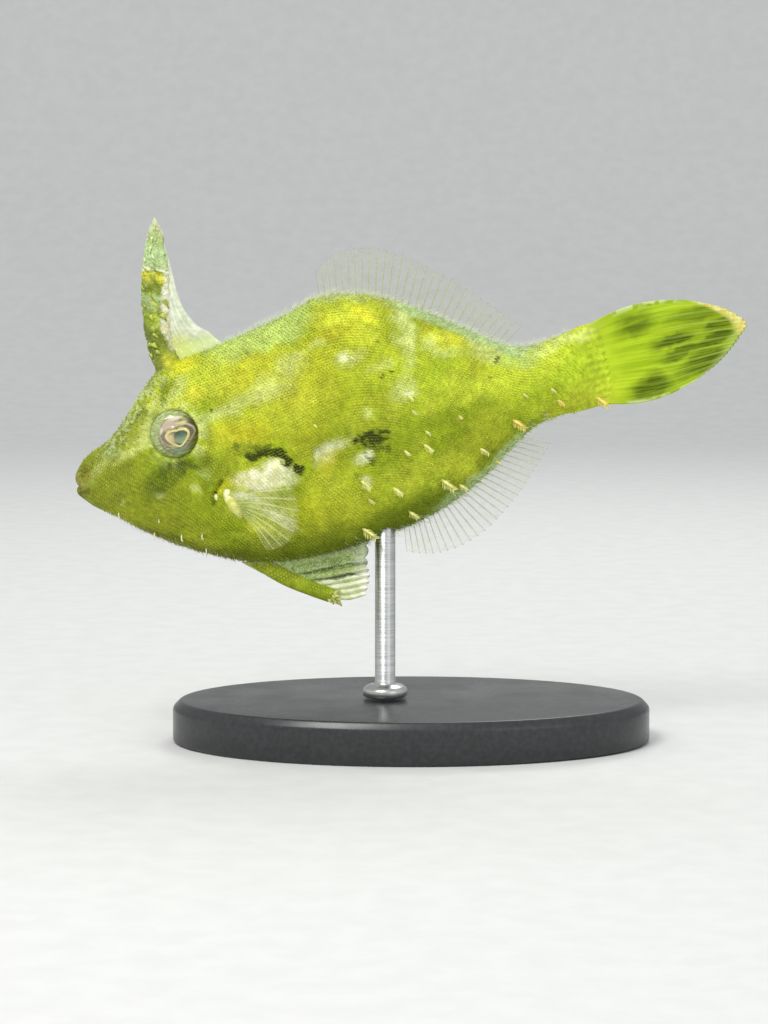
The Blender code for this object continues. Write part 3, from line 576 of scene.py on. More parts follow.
MARKS = tuple(Mark(*row) for row in (
    (2.0, -1.0, 8.5, 5.5, 28, Paint.SNOUT, 0.9, 0.8), (9.5, -6.0, 7.0, 4.5, -28, Paint.CHIN, 0.85),
    (9.0, 4.6, 5.0, 2.6, 40, Paint.BROW, 0.75), (14.5, -2.6, 4.6, 3.4, -10, Paint.OLIVE, 0.55),
    (22.0, -13.5, 10.0, 3.0, -4, Paint.MOSS, 0.6), (37.0, -13.0, 12.0, 2.6, 6, Paint.MOSS, 0.7, 0.9),
    (47.5, -8.6, 5.5, 1.8, 32, Paint.MOSS, 0.55), (30.0, 5.5, 12.0, 6.0, 8, Paint.GOLD, 0.5),
    (33.0, -2.6, 9.0, 4.0, -6, Paint.OLIVE, 0.45), (37.0, 5.0, 5.0, 4.0, -20, Paint.LIME, 0.5),
    (46.0, -4.6, 9.0, 3.4, 6, Paint.OLIVE, 0.35), (46.0, 2.0, 8.0, 3.4, -12, Paint.LIME, 0.6),
    (46.4, 0.4, 7.0, 3.0, -4, Paint.YELLOW, 0.45), (50.4, 0.0, 4.4, 2.4, 4, Paint.YELLOW, 0.6),
    (38.6, -8.4, 7.5, 2.6, 8, Paint.YELLOW, 0.5), (26.0, 2.0, 6.0, 2.4, 8, Paint.YELLOW, 0.35),
    (41.5, -10.6, 4.0, 1.6, 14, Paint.MOSS, 0.5), (25.5, -9.5, 7.0, 3.0, -10, Paint.GOLD, 0.4),
    (17.5, 8.4, 4.6, 2.6, 20, Paint.YELLOW, 0.75), (15.1, 10.0, 2.4, 1.5, 0, Paint.SUN, 0.9, 0.9),
    (14.9, 6.3, 3.0, 1.3, 12, Paint.YELLOW, 0.8), (14.0, 7.6, 1.9, 1.2, 20, Paint.PALE, 0.6),
    (18.4, -1.7, 2.8, 1.7, -14, Paint.OLIVE, 0.5), (36.4, 4.8, 3.4, 1.8, 0, Paint.YELLOW, 0.4),
    (37.4, -1.4, 3.0, 1.6, 0, Paint.OLIVE, 0.35), (46.0, 5.2, 5.0, 1.7, -22, Paint.PALE, 0.4),
    (15.8, 6.6, 1.7, 0.8, 12, Paint.SUN, 0.55), (22.0, 7.4, 5.0, 1.8, 12, Paint.GOLD, 0.6),
    (20.2, 1.0, 5.4, 2.1, -8, Paint.GOLD, 0.7), (21.0, 0.6, 2.6, 1.2, -8, Paint.AMBER, 0.5),
    (27.4, -1.2, 3.6, 3.4, 0, Paint.GOLD, 0.5), (35.2, 10.9, 5.2, 2.4, -4, Paint.YELLOW, 0.85),
    (36.8, 11.0, 2.6, 1.5, -6, Paint.SUN, 0.8), (33.0, 9.6, 3.0, 1.2, 4, Paint.AMBER, 0.55),
    (31.6, 11.7, 1.6, 1.0, 20, Paint.AMBER, 0.5), (45.6, 5.7, 3.6, 1.9, -30, Paint.YELLOW, 0.85),
    (46.0, 5.9, 2.0, 1.0, -30, Paint.SUN, 0.6), (43.4, 7.7, 1.7, 0.7, -30, Paint.AMBER, 0.55),
    (48.6, 2.4, 3.2, 1.4, -24, Paint.GOLD, 0.45), (56.5, -0.4, 7.5, 4.0, 6, Paint.LIME, 0.7),
    (55.0, 0.8, 4.0, 2.2, 8, Paint.YELLOW, 0.55), (24.6, 11.0, 6.4, 2.0, 9, Paint.DEW, 0.8, 0.9),
    (29.4, 12.2, 3.2, 1.4, 18, Paint.DEW, 0.7), (18.6, 3.8, 4.8, 1.1, 12, Paint.PALE, 0.65),
    (24.6, 5.2, 3.8, 1.5, 16, Paint.PALE, 0.65), (28.0, 7.4, 2.2, 1.4, 10, Paint.PALE, 0.6),
    (31.0, 8.6, 1.6, 0.8, 0, Paint.PALE, 0.6), (34.4, 6.9, 2.1, 0.9, 12, Paint.PALE, 0.75),
    (34.0, 6.8, 0.8, 0.34, 15, Paint.CREAM, 0.8, 0.9), (40.9, 7.0, 4.4, 1.2, 80, Paint.PALE, 0.85),
    (41.4, 9.4, 1.9, 0.8, -60, Paint.PALE, 0.7), (39.6, 1.6, 2.0, 1.7, 20, Paint.PALE, 0.8),
    (39.9, 1.1, 0.7, 0.4, 20, Paint.CREAM, 0.75, 0.8), (37.4, 5.2, 1.6, 0.8, 0, Paint.PALE, 0.45),
    (34.6, -0.3, 1.0, 0.9, 0, Paint.PALE, 0.6), (32.0, -2.8, 1.6, 0.6, 10, Paint.PALE, 0.6),
    (43.6, 5.7, 1.5, 0.9, 0, Paint.PALE, 0.6), (44.8, 4.4, 1.6, 0.8, 0, Paint.PALE, 0.5),
    (48.6, 5.5, 1.6, 1.2, -30, Paint.PALE, 0.7), (50.4, 3.5, 2.6, 1.3, -30, Paint.PALE, 0.75),
    (53.6, 1.9, 2.4, 1.3, -10, Paint.DEW, 0.75), (57.0, 2.7, 3.4, 0.9, 12, Paint.PALE, 0.5),
    (61.0, 3.2, 3.0, 0.9, 12, Paint.PALE, 0.45), (60.0, -1.0, 4.0, 2.0, 6, Paint.LIME, 0.5),
    (63.5, -0.8, 3.4, 6.5, 0, Paint.LIME, 0.85, 0.9), (21.4, -4.5, 3.9, 1.6, -8, Paint.SUN, 0.9, 0.8),
    (22.0, -4.4, 3.5, 1.35, -12, Paint.CREAM, 1.0, 0.6), (20.4, -6.8, 2.7, 2.2, -10, Paint.PALE, 0.8, 0.9),
    (19.4, -6.2, 1.6, 0.7, -20, Paint.CREAM, 0.8, 0.8), (17.3, -4.2, 1.3, 0.8, 20, Paint.SUN, 0.6, 0.9),
    (17.2, -6.6, 1.5, 2.2, 10, Paint.YELLOW, 0.6), (29.8, -3.4, 2.6, 1.0, 32, Paint.CREAM, 0.7, 0.9),
    (29.2, -4.6, 2.9, 1.1, 34, Paint.SUN, 0.6, 0.9), (33.4, -4.6, 1.4, 0.7, 30, Paint.CREAM, 0.7, 0.9),
    (33.0, -7.6, 1.0, 0.8, 0, Paint.CREAM, 0.6, 0.9), (22.6, -9.4, 2.7, 1.0, -38, Paint.CREAM, 0.6, 0.9),
    (19.5, -9.6, 2.0, 0.9, -30, Paint.YELLOW, 0.75, 0.9),
    (23.0, -2.5, 3.6, 0.8, -30, Paint.INK, 0.97, 0.8, 0.8),
    (21.0, -1.2, 2.6, 1.3, -20, Paint.MOSS, 0.8, 0.9, 0.4),
    (21.2, -1.8, 1.5, 0.6, -24, Paint.INK, 0.8, 0.8, 1.0),
    (25.6, -4.2, 1.0, 0.55, -30, Paint.INK, 0.97, 0.7, 0.8),
    (27.4, -3.2, 1.2, 0.8, -20, Paint.MOSS, 0.5, 0.9, 0.4),
    (34.9, -3.2, 2.5, 1.9, 8, Paint.MOSS, 0.75, 0.95, 0.3),
    (34.8, -2.9, 1.9, 0.9, 12, Paint.INK, 0.9, 0.9, 1.0),
    (36.4, -3.8, 1.0, 0.8, -30, Paint.INK, 0.6, 0.9, 1.0),
    (33.6, -5.2, 0.9, 1.5, 30, Paint.INK, 0.65, 0.9, 1.0),
    (32.4, -7.4, 1.2, 1.9, 20, Paint.MOSS, 0.6, 0.95, 0.3),
    (17.6, 4.5, 0.55, 0.45, 0, Paint.INK, 0.95, 0.9, 0.4),
    (17.5, 4.6, 1.3, 1.0, 0, Paint.OLIVE, 0.5, 0.95, 0.4),
    (8.8, 5.6, 1.1, 0.6, 45, Paint.MOSS, 0.75, 0.9, 0.6), (17.2, 6.2, 0.34, 0.25, 0, Paint.OLIVE, 0.8, 0.9),
    (19.0, 6.0, 0.6, 0.34, 20, Paint.MOSS, 0.6, 0.9, 0.3),
    (38.0, 8.3, 0.8, 0.36, -20, Paint.INK, 0.6, 0.9, 0.9),
    (38.0, 3.9, 0.95, 0.36, 8, Paint.INK, 0.85, 0.9, 0.9),
    (38.2, 3.6, 1.4, 0.7, 8, Paint.MOSS, 0.4, 0.95, 0.3), (43.4, 2.9, 0.5, 0.3, 0, Paint.MOSS, 0.5, 0.9, 0.3),
    (50.9, 2.7, 0.42, 0.26, 30, Paint.INK, 0.9, 0.8, 0.4), (50.0, 0.4, 0.34, 0.22, 0, Paint.RUST, 0.75, 0.8),
    (44.6, 8.0, 2.0, 0.55, -32, Paint.OLIVE, 0.8, 0.9, 0.3),
    (37.0, 12.6, 1.4, 0.7, -6, Paint.OLIVE, 0.6, 0.95, 0.3),
    (33.8, 12.2, 1.2, 0.8, 10, Paint.OLIVE, 0.45, 0.95, 0.3),
    (10.6, -2.0, 4.8, 2.0, 40, Paint.DEEP, 0.9, 0.9), (13.0, -0.9, 2.6, 1.1, -10, Paint.DEEP, 0.8, 0.9),
    (15.6, -0.2, 1.7, 1.1, -30, Paint.DEEP, 0.5), (16.6, 2.4, 0.9, 2.3, 10, Paint.MOSS, 0.55),
    (12.2, 7.7, 2.4, 1.0, 66, Paint.MOSS, 0.75, 0.95, 0.5), (10.6, 6.6, 2.0, 0.5, 56, Paint.PALE, 0.6),
    (7.4, 1.4, 3.4, 0.7, 22, Paint.PALE, 0.55), (9.2, 3.3, 1.6, 0.9, 40, Paint.PALE, 0.5),
    (4.7, 1.9, 1.0, 0.7, 30, Paint.MOSS, 0.9, 0.9, 0.6), (3.2, 0.6, 3.4, 0.8, 40, Paint.PALE, 0.35),
    (4.6, -3.6, 0.7, 0.6, 0, Paint.DEW, 0.7), (9.6, -4.0, 1.1, 0.6, -30, Paint.PALE, 0.45),
    (13.5, -4.1, 1.0, 0.7, 10, Paint.PALE, 0.6), (15.0, -2.2, 1.4, 0.8, 10, Paint.DEW, 0.55),
    (13.0, -6.6, 3.6, 1.2, -30, Paint.LEAF, 0.5), (0.9, 0.9, 1.2, 0.7, 50, Paint.UMBER, 0.7),
    (0.3, -2.2, 1.2, 0.8, 20, Paint.UMBER, 0.8, 0.9), (0.1, -0.2, 0.6, 1.5, 12, Paint.BLUSH, 0.75, 0.9),
    (1.3, 0.1, 0.35, 1.4, 10, Paint.RUST, 0.35), (-0.1, -0.95, 0.5, 0.3, 0, Paint.UMBER, 0.8, 0.8),
))


@dataclass(frozen=True)
class SkinFinish:
    """The velvety skin: its markings and the net of fine scales.

    Attributes:
        spacing: The distance between scales.
        roughness: How dull it is.
        gloss: Its specular level.
        tip_height: How far the tips of the scales stand up.
        frays: The reach, size and first seed of each noise that frays the marks.
        eye_ray_reach: How far from the eye's middle its pale rays reach.
        band_fade: The length over which a band fades at each end.
        bands: The bands of the edges, of which the dark moss and umber ones along the belly are painted shade:
        start, end, height, 1 for the back or -1 for the belly, paint, strength and grain.
    """

    spacing: float = 0.38
    roughness: float = 0.6
    gloss: float = 0.16
    tip_height: float = 0.05
    frays: tuple[tuple[float, float, int], ...] = ((1.5, 2.6, 0), (0.8, 0.9, 2))
    eye_ray_reach: float = 4.5
    band_fade: float = 4.0
    bands: tuple[tuple[float, float, float, int, Paint, float, float], ...] = (
        (1.6, 15.0, 2.4, 1, Paint.MOSS, 0.4, 0.0), (1.6, 15.0, 2.6, 1, Paint.FROST, 0.45, 2.2),
        (16.0, 34.0, 1.0, 1, Paint.DEW, 0.6, 0.0), (38.5, 57.0, 1.35, 1, Paint.MINT, 0.9, 0.0),
        (31.0, 39.0, 1.0, 1, Paint.PALE, 0.55, 0.0), (38.0, 54.0, 1.3, -1, Paint.MINT, 0.75, 0.0),
        # The moss and umber bands along the belly's edge are painted shade that darkens the underside.
        (16.0, 38.0, 1.6, -1, Paint.MOSS, 0.5, 0.0), (3.0, 20.0, 1.9, -1, Paint.UMBER, 0.6, 0.0),
    )

    def markings(self, u: Array, w: Array, v: Array, ink: float = 1.0) -> Array:
        """Paints the markings, alike on both sides, and the painted shade along the belly's edge.

        Args:
            u: Distances along the fish.
            w: Distances to its far side.
            v: Heights.
            ink: How strongly the dark blots cover.

        Returns:
            The colour at each place, as linear red, green and blue.
        """
        at = np.stack((u, np.abs(w), v), -1)
        colours = np.zeros((*u.shape, 3)) + Paint.LEAF.value
        Paint.BASE.lay(colours, ease((cloud(at, 4.0, 5) - 0.3) / 0.4))
        Paint.YELLOW.lay(colours, 0.45 * ease((cloud(at, 1.5, 6) - 0.55) / 0.3))
        speckle = cloud(at, 0.3, 9) - 0.5
        self.lay_marks(colours, at, speckle, ink)
        self.lay_eye_rays(colours, u - FORM.eye[0], v - FORM.eye[1])
        self.lay_bands(colours, at, speckle)
        mottle = 0.55 * cloud(at, 2.2, 21) + 0.45 * cloud(at, 0.7, 22)
        return colours * (0.75 + 0.52 * mottle)[..., None]

    def lay_marks(self, colours: Array, at: Array, speckle: Array, ink: float) -> None:
        """Lays the marks, with edges that fray along the scales.

        Args:
            colours: The colours, which are changed in place.
            at: The places (u, w, v).
            speckle: A value for the scale at each place, about 0.
            ink: How strongly the dark blots cover.
        """
        place_u, place_v = (
            at[..., axis] + sum(reach * (cloud(at, size, seed + k) - 0.5) for reach, size, seed in self.frays)
            for k, axis in enumerate((0, 2))
        )
        broken = ease((cloud(at, 0.8, 12) * 0.65 + cloud(at, 0.35, 13) * 0.35 - 0.2) / 0.5)
        for mark in MARKS:
            along, up = turned(place_u - mark.u, place_v - mark.v, mark.turn)
            away = np.hypot(along / mark.long_half, up / mark.high_half)
            cover = ease((1.2 - away) / mark.fray) * mark.strength
            if mark.grain:
                grains = ease((cover + speckle * mark.grain * 1.5 - 0.42) / 0.2)
                cover = mark.strength * ease(cover / 0.3) * grains
            whole = ink if mark.paint is Paint.INK else 1 - 0.4 * (1 - broken) * (mark.long_half < 6)
            mark.paint.lay(colours, cover * whole)

    def lay_eye_rays(self, colours: Array, du: Array, dv: Array) -> None:
        """Lays the pale rays that spread from the eye, from places' distances from its middle."""
        away = np.hypot(du, dv)
        near = np.maximum(away, 0.1)
        ray = cloud(np.stack((8 * du / near, 8 * dv / near, away * 0.4), -1), 1.0, 15)
        cover = 0.7 * ease((self.eye_ray_reach - away) / 1.5) * ease((ray - 0.25) / 0.5)
        Paint.PALE.lay(colours, cover * (0.45 + 0.55 * ease((dv + du + 3.5) / 5)))

    def lay_bands(self, colours: Array, at: Array, speckle: Array) -> None:
        """Lays the bands along the edges of the back and the belly; the dark ones along the belly are painted
        shade.

        Args:
            colours: The colours, which are changed in place.
            at: The places (u, w, v).
            speckle: A value for the scale at each place, about 0.
        """
        u, v = at[..., 0], at[..., 2]
        uneven = 0.7 + 0.6 * cloud(at, 1.4, 14)
        for start, end, height, way, paint, strength, grain in self.bands:
            edge = FORM.back(u) - v if way > 0 else v - FORM.belly(u)
            along = ease((u - start) / self.band_fade) * ease((end - u) / self.band_fade)
            cover = strength * along * ease((height * uneven - edge) / (height * 0.6))
            if grain:
                cover = cover * ease((cover + speckle * grain - 0.3) / 0.3)
            paint.lay(colours, cover)

    def scales(self, graph: Graph) -> Field:
        """The pale tips of the scales, 1 at a tip and 0 in the net between them, on the unwrapped skin."""
        across = self.spacing * math.sqrt(3)
        flat = graph.warp(graph.uv("skin").vector("SCALE", Scale=SKIN_MAP), 0.8, 0.17)
        gaps = []
        for shift in (0.0, 0.5):
            half = (self.spacing / 2, across / 2, 0.5)
            moved = flat.vector("ADD", (shift * self.spacing, shift * across, 0.0))
            gaps.append(moved.vector("WRAP", half, tuple(-h for h in half)).vector("LENGTH"))
        return gaps[0].low(gaps[1]).step(0.2, 0.05)

    def material(self, name: str) -> Material:
        """Makes the finish of the body's skin."""
        graph = Graph(name)
        tips = self.scales(graph)
        fish = graph.fish()
        u, _, _ = fish.parts()
        net = graph.noise(fish, 1.7, 3.0).step(0.36, 0.66, 0.3, 1.0) * u.step(50.0, 61.0, 1.0, 0.1)
        patchy = graph.noise(fish, 0.55, 3.0, 0.6)
        colour = graph.attribute("paint")
        _, _, blue = colour.parts()
        net = net * blue.step(0.2, 0.5, 1.0, 0.5)
        colour = graph.scale_colour(colour, patchy.step(0.3, 0.7, 0.82, 1.16))
        dark = graph.scale_colour(colour, 0.6)
        light = graph.mix(0.2, graph.scale_colour(colour, 1.14), srgb(236, 240, 96))
        colour = graph.mix(net * 0.8, colour, graph.mix(tips, dark, light))
        fine = graph.noise(fish, 0.14, 2.0)
        normal = graph.bump(tips * net * self.tip_height + fine * 0.03, MM, 0.75)
        return graph.finish(
            Base_Color=colour, Roughness=self.roughness, Specular_IOR_Level=self.gloss, Normal=normal,
        )


def paint_mesh(
    piece: bpy.types.Object, finish: SkinFinish, at: Array | None = None,
    lift: Array | float = 1.0, ink: float = 1.0, white: float = 0.0,
) -> None:
    """Paints a piece's vertices with the skin's markings.

    Args:
        piece: The piece.
        finish: The skin's finish.
        at: Places in metres to take each vertex's colour from, if not its own.
        lift: How much lighter each vertex is than the skin there.
        ink: How strongly the dark blots cover.
        white: How far the colour is turned to a pale tone.
    """
    if at is None:
        at = np.empty(len(piece.data.vertices) * 3)
        piece.data.vertices.foreach_get("co", at)
    colour = finish.markings(*FORM.fish(at.reshape(-1, 3)), ink) * np.reshape(lift, (-1, 1))
    colour += white * (np.array(srgb(232, 238, 206)) - colour)
    layer = piece.data.color_attributes.new("paint", "FLOAT_COLOR", "POINT")
    layer.data.foreach_set("color", np.column_stack((colour, np.ones(len(colour)))).ravel())


@dataclass
class Skin:
    """The one skin that covers the head, the trunk and the tail."""

    rows: int = 330
    columns: int = 236
    front: float = 0.075
    evenness: float = 0.22
    section_end: float = 61.8
    arc_steps: int = 40
    mouth_spread: float = 40.0
    mouth_height: float = -0.95
    corner_setback: float = 0.5
    eye_opening: float = 2.86
    socket_depth: float = 2.6
    eye_rim: float = 0.2
    scallops: int = 11
    snap: float = 0.11
    stations: Profile = Profile((
        (0.0, 0.2), (0.075, 0.25), (0.12, 1.5), (0.25, 8.5), (0.42, 17.5), (0.9, 58.0), (1.0, 63.4),
    ))
    lip_front: Profile = Profile((
        (0.0, 0.9), (0.2, 0.25), (0.36, 0.06), (0.52, -0.07), (0.66, -0.14), (0.8, -0.1), (1.0, 0.06),
    ))
    lip_width: Profile = Profile((
        (0.0, 0.75), (0.36, 0.88), (0.52, 0.95), (0.66, 1.0), (0.8, 1.03), (1.0, 1.05),
    ))
    lip_height: Profile = Profile((
        (0.0, 0.0), (0.2, 0.02), (0.36, 0.05), (0.52, 0.28), (0.66, 0.66), (0.8, 1.08), (1.0, 1.6),
    ))
    swellings: tuple[tuple[float, ...], ...] = (
        (12.7, 2.6, 4.6, 4.6, 0.0, 0.42), (13.4, 9.4, 2.4, 1.8, 0.0, 0.35), (6.0, -1.6, 5.0, 1.6, 22.0, 0.18),
        (9.2, 0.0, 2.6, 1.0, 40.0, -0.22), (21.0, -11.4, 7.0, 1.0, -32.0, 0.3),
        (18.0, -6.6, 2.0, 2.4, 0.0, 0.42), (14.9, -8.4, 3.4, 2.0, -20.0, 0.2),
        (26.0, 4.0, 6.0, 3.0, 10.0, 0.12), (44.0, -1.4, 14.0, 1.2, -2.0, 0.14),
        (45.0, 8.0, 9.0, 1.1, -36.0, 0.22), (45.0, -10.4, 8.0, 1.0, 26.0, 0.22),
    )
    gill: tuple[tuple[float, float], ...] = ((15.2, -6.3), (15.7, -5.0), (16.8, -3.8))
    nostrils: tuple[tuple[float, float], ...] = ((9.2, 4.6), (9.0, 5.7))

    def angle(self, t: Array) -> Array:
        """The angle round the section, spread so that the faces are about as long on flank and back."""
        even = -math.pi / 2 + 2 * math.pi * t
        return even - self.evenness * np.sin(2 * even)

    def relief(self, u: Array, v: Array) -> Array:
        """How far the skin stands out of the plain body form.

        Args:
            u: Distances along the fish.
            v: Heights.

        Returns:
            The relief in millimetres.
        """
        relief = np.zeros_like(u)
        for mid_u, mid_v, long_half, high_half, turn, height in self.swellings:
            along, up = turned(u - mid_u, v - mid_v, turn)
            relief += height * bell(np.hypot(along / long_half, up / high_half))
        for (u0, v0), (u1, v1) in zip(self.gill, self.gill[1:]):
            du, dv = u1 - u0, v1 - v0
            share = np.clip(((u - u0) * du + (v - v0) * dv) / (du ** 2 + dv ** 2), 0, 1)
            away = np.hypot(u - u0 - share * du, v - v0 - share * dv)
            relief -= 0.5 * bell(away / 0.34)
            relief += 0.16 * bell((away - 0.5) / 0.4)
        away = np.hypot(u - FORM.eye[0], v - FORM.eye[1])
        relief += self.eye_rim * bell((away - self.eye_opening - 0.25) / 0.42)
        for mid_u, mid_v in self.nostrils:
            away = np.hypot(u - mid_u, v - mid_v)
            relief += 0.16 * bell((away - 0.34) / 0.2) - 0.45 * bell(away / 0.26)
        return relief

    def place(self, s: Array, t: Array) -> Array:
        """Places the skin's vertices, from inside the mouth to the root of the tail fin.

        Args:
            s: Shares from the mouth to the tail fin.
            t: Shares round the body, from the belly over the far side and the back.

        Returns:
            The places in metres.
        """
        angle, u = self.angle(t), self.stations(s)
        w, v = FORM.section(np.minimum(u, self.section_end), angle)
        reach = np.where(np.sin(angle) > 0, FORM.back(u), -FORM.belly(u)) + 1.0
        out = np.stack((np.cos(angle) * reach, np.sin(angle) * FORM.half_width(u)))
        out /= np.maximum(np.hypot(*out), 1e-9)
        relief = self.relief(u, v) * ease((u - 0.6) / 1.5)
        w, v = w + out[0] * relief, v + out[1] * relief
        u, w, v = self.sink_sockets(u, w, v)
        u, w, v = self.sheathe_tail(u, w, v)
        u, w, v = self.roll_lips(s, angle, u, w, v)
        return FORM.world(u, w, v)

    def sink_sockets(self, u: Array, w: Array, v: Array) -> Places:
        """Sinks the skin behind the eyes, and draws the nearest vertices on to the round edge."""
        du, dv = u - FORM.eye[0], v - FORM.eye[1]
        away = np.maximum(np.hypot(du, dv), 1e-6)
        snapped = np.where(np.abs(away - self.eye_opening) < self.snap, self.eye_opening, away)
        u, v = FORM.eye[0] + du * snapped / away, FORM.eye[1] + dv * snapped / away
        sink = self.socket_depth * ease((self.eye_opening - snapped) / 0.5)
        sink = sink + 0.12 * bell((snapped - self.eye_opening) / 0.3)
        return u, np.sign(w) * (np.abs(w) - sink), v

    def sheathe_tail(self, u: Array, w: Array, v: Array) -> Places:
        """Thins the skin over the root of the tail fin, with a scalloped end."""
        share = (v - FORM.belly(u)) / (FORM.back(u) - FORM.belly(u))
        over = ease((u - 60.0) / 3.4)
        thin = 1 - 0.75 * over - 0.24 * ease((u - 63.1) / 0.3)
        lobes = 0.25 * over * np.cos(2 * math.pi * self.scallops * share)
        return u + lobes, w * thin, v - over * (v + 0.7) * 0.05

    def roll_lips(self, s: Array, angle: Array, u: Array, w: Array, v: Array) -> tuple:
        """Rolls the front of the snout over the lips and into the mouth."""
        a = np.clip(s / self.front, 0, 1)
        side, rise = np.cos(angle), np.sin(angle)
        blend = ease((s - 0.7 * self.front) / (0.65 * self.front))
        under = np.where(rise < 0, 0.17 * bell((a - 0.6) / 0.4), 0.0) * np.abs(rise)
        corner = 1 - 0.55 * side ** 4
        lip_u = self.lip_front(a) * corner + self.corner_setback * side ** 2 * ease(a / 0.3) - under
        lip_w = self.lip_width(a) * side
        lip_v = self.mouth_height + rise * self.lip_height(a) * (1 - 0.35 * side ** 2)
        return tuple(lip * (1 - blend) + body * blend for lip, body in ((lip_u, u), (lip_w, w), (lip_v, v)))

    def arc(self, u: Array, angle: Array) -> Array:
        """The distance over the skin from the middle of the back, in millimetres, negative on the far side."""
        total = np.zeros_like(u)
        before = FORM.section(u, np.full_like(u, math.pi / 2))
        for k in range(1, self.arc_steps + 1):
            after = FORM.section(u, math.pi / 2 + (angle - math.pi / 2) * k / self.arc_steps)
            total += np.hypot(after[0] - before[0], after[1] - before[1])
            before = after
        return total * np.sign(angle - math.pi / 2)

    def lay(self, s: Array, t: Array) -> tuple[Array, Array]:
        """Unwraps the skin, a hundredth of the map to the millimetre."""
        u = self.stations(s)
        across = u - np.maximum(self.front - s, 0) * self.mouth_spread
        return across / SKIN_MAP + SKIN_MAP_START, 0.5 + self.arc(u, self.angle(t)) / SKIN_MAP

    def build(self, finish: SkinFinish) -> bpy.types.Object:
        """Makes the skin, which stands for the three nodes of flesh."""
        bm = sheet(self.rows, self.columns, self.place, {"skin": self.lay})
        made = make_object("body_skin", bm, finish.material("velvet_skin"))
        paint_mesh(made, finish)
        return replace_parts(made, "head", "trunk", "tail")


def tufts(
    name: str, paths: Array, radii: Array, sides: int, flat: float = 1.0,
    roots: Array | None = None,
) -> bpy.types.Mesh:
    """Many tapered, closed threads as one joined mesh.

    Args:
        name: The mesh's name.
        paths: The points of each thread from root to tip, in metres, as threads, points, x y z.
        radii: The radius at each point but the tip, in metres, as threads, points.
        sides: How many sides each thread has.
        flat: How thick a thread is across its second axis, where 1 is round.
        roots: Where each thread's root lies on the unwrapped skin, which gives its patch of the map OFBake.

    Returns:
        The mesh, whose vertices follow thread by thread: the root's middle, the rings and the tip.
    """
    count, points = paths.shape[:2]
    along = unit(np.gradient(paths, axis=1))
    across = unit(np.cross(along, (0.12, 1.0, 0.07)))
    other = np.cross(along, across)
    turns = 2 * np.pi * np.arange(sides) / sides
    ring = across[:, :-1, None] * np.cos(turns)[:, None] + other[:, :-1, None] * np.sin(turns)[:, None] * flat
    rings = paths[:, :-1, None] + ring * radii[:, :, None, None]
    spots = np.concatenate((paths[:, :1], rings.reshape(count, -1, 3), paths[:, -1:]), axis=1)
    a = np.arange(sides)
    b = (a + 1) % sides
    tip = 1 + (points - 1) * sides
    faces = [np.column_stack((np.zeros(sides, int), 1 + b, 1 + a))]
    for k in range(points - 2):
        low, high = 1 + k * sides, 1 + (k + 1) * sides
        faces += [np.column_stack((low + a, low + b, high + b)), np.column_stack((low + a, high + b, high + a))]
    last = 1 + (points - 2) * sides
    faces.append(np.column_stack((last + a, last + b, np.full(sides, tip))))
    one = np.concatenate(faces)
    every = (np.arange(count)[:, None, None] * (tip + 1) + one).reshape(-1, 3)
    mesh = bpy.data.meshes.new(name)
    mesh.vertices.add(count * (tip + 1))
    mesh.vertices.foreach_set("co", spots.ravel())
    mesh.loops.add(every.size)
    mesh.loops.foreach_set("vertex_index", every.ravel())
    mesh.polygons.add(len(every))
    mesh.polygons.foreach_set("loop_start", np.arange(0, every.size, 3))
    if roots is not None:
        local = every.ravel() % (tip + 1)
        ring_of, side_of = np.clip((local - 1) // sides + 1, 0, points), (local - 1) % sides
        patch = np.column_stack((ring_of / points - 0.5, side_of / sides - 0.5)) * BAKE_PATCH
        layer = mesh.uv_layers.new(name="OFBake")
        layer.data.foreach_set("uv", (roots[every.ravel() // (tip + 1)] + patch).ravel())
    mesh.update()
    mesh.validate()
    return mesh


def tuft_piece(name: str, mesh: bpy.types.Mesh, material: Material) -> bpy.types.Object:
    """Makes a joined mesh a piece that rides on the fish."""
    bm = bmesh.new()
    bm.from_mesh(mesh)
    bpy.data.meshes.remove(mesh)
    return make_object(name, bm, material)


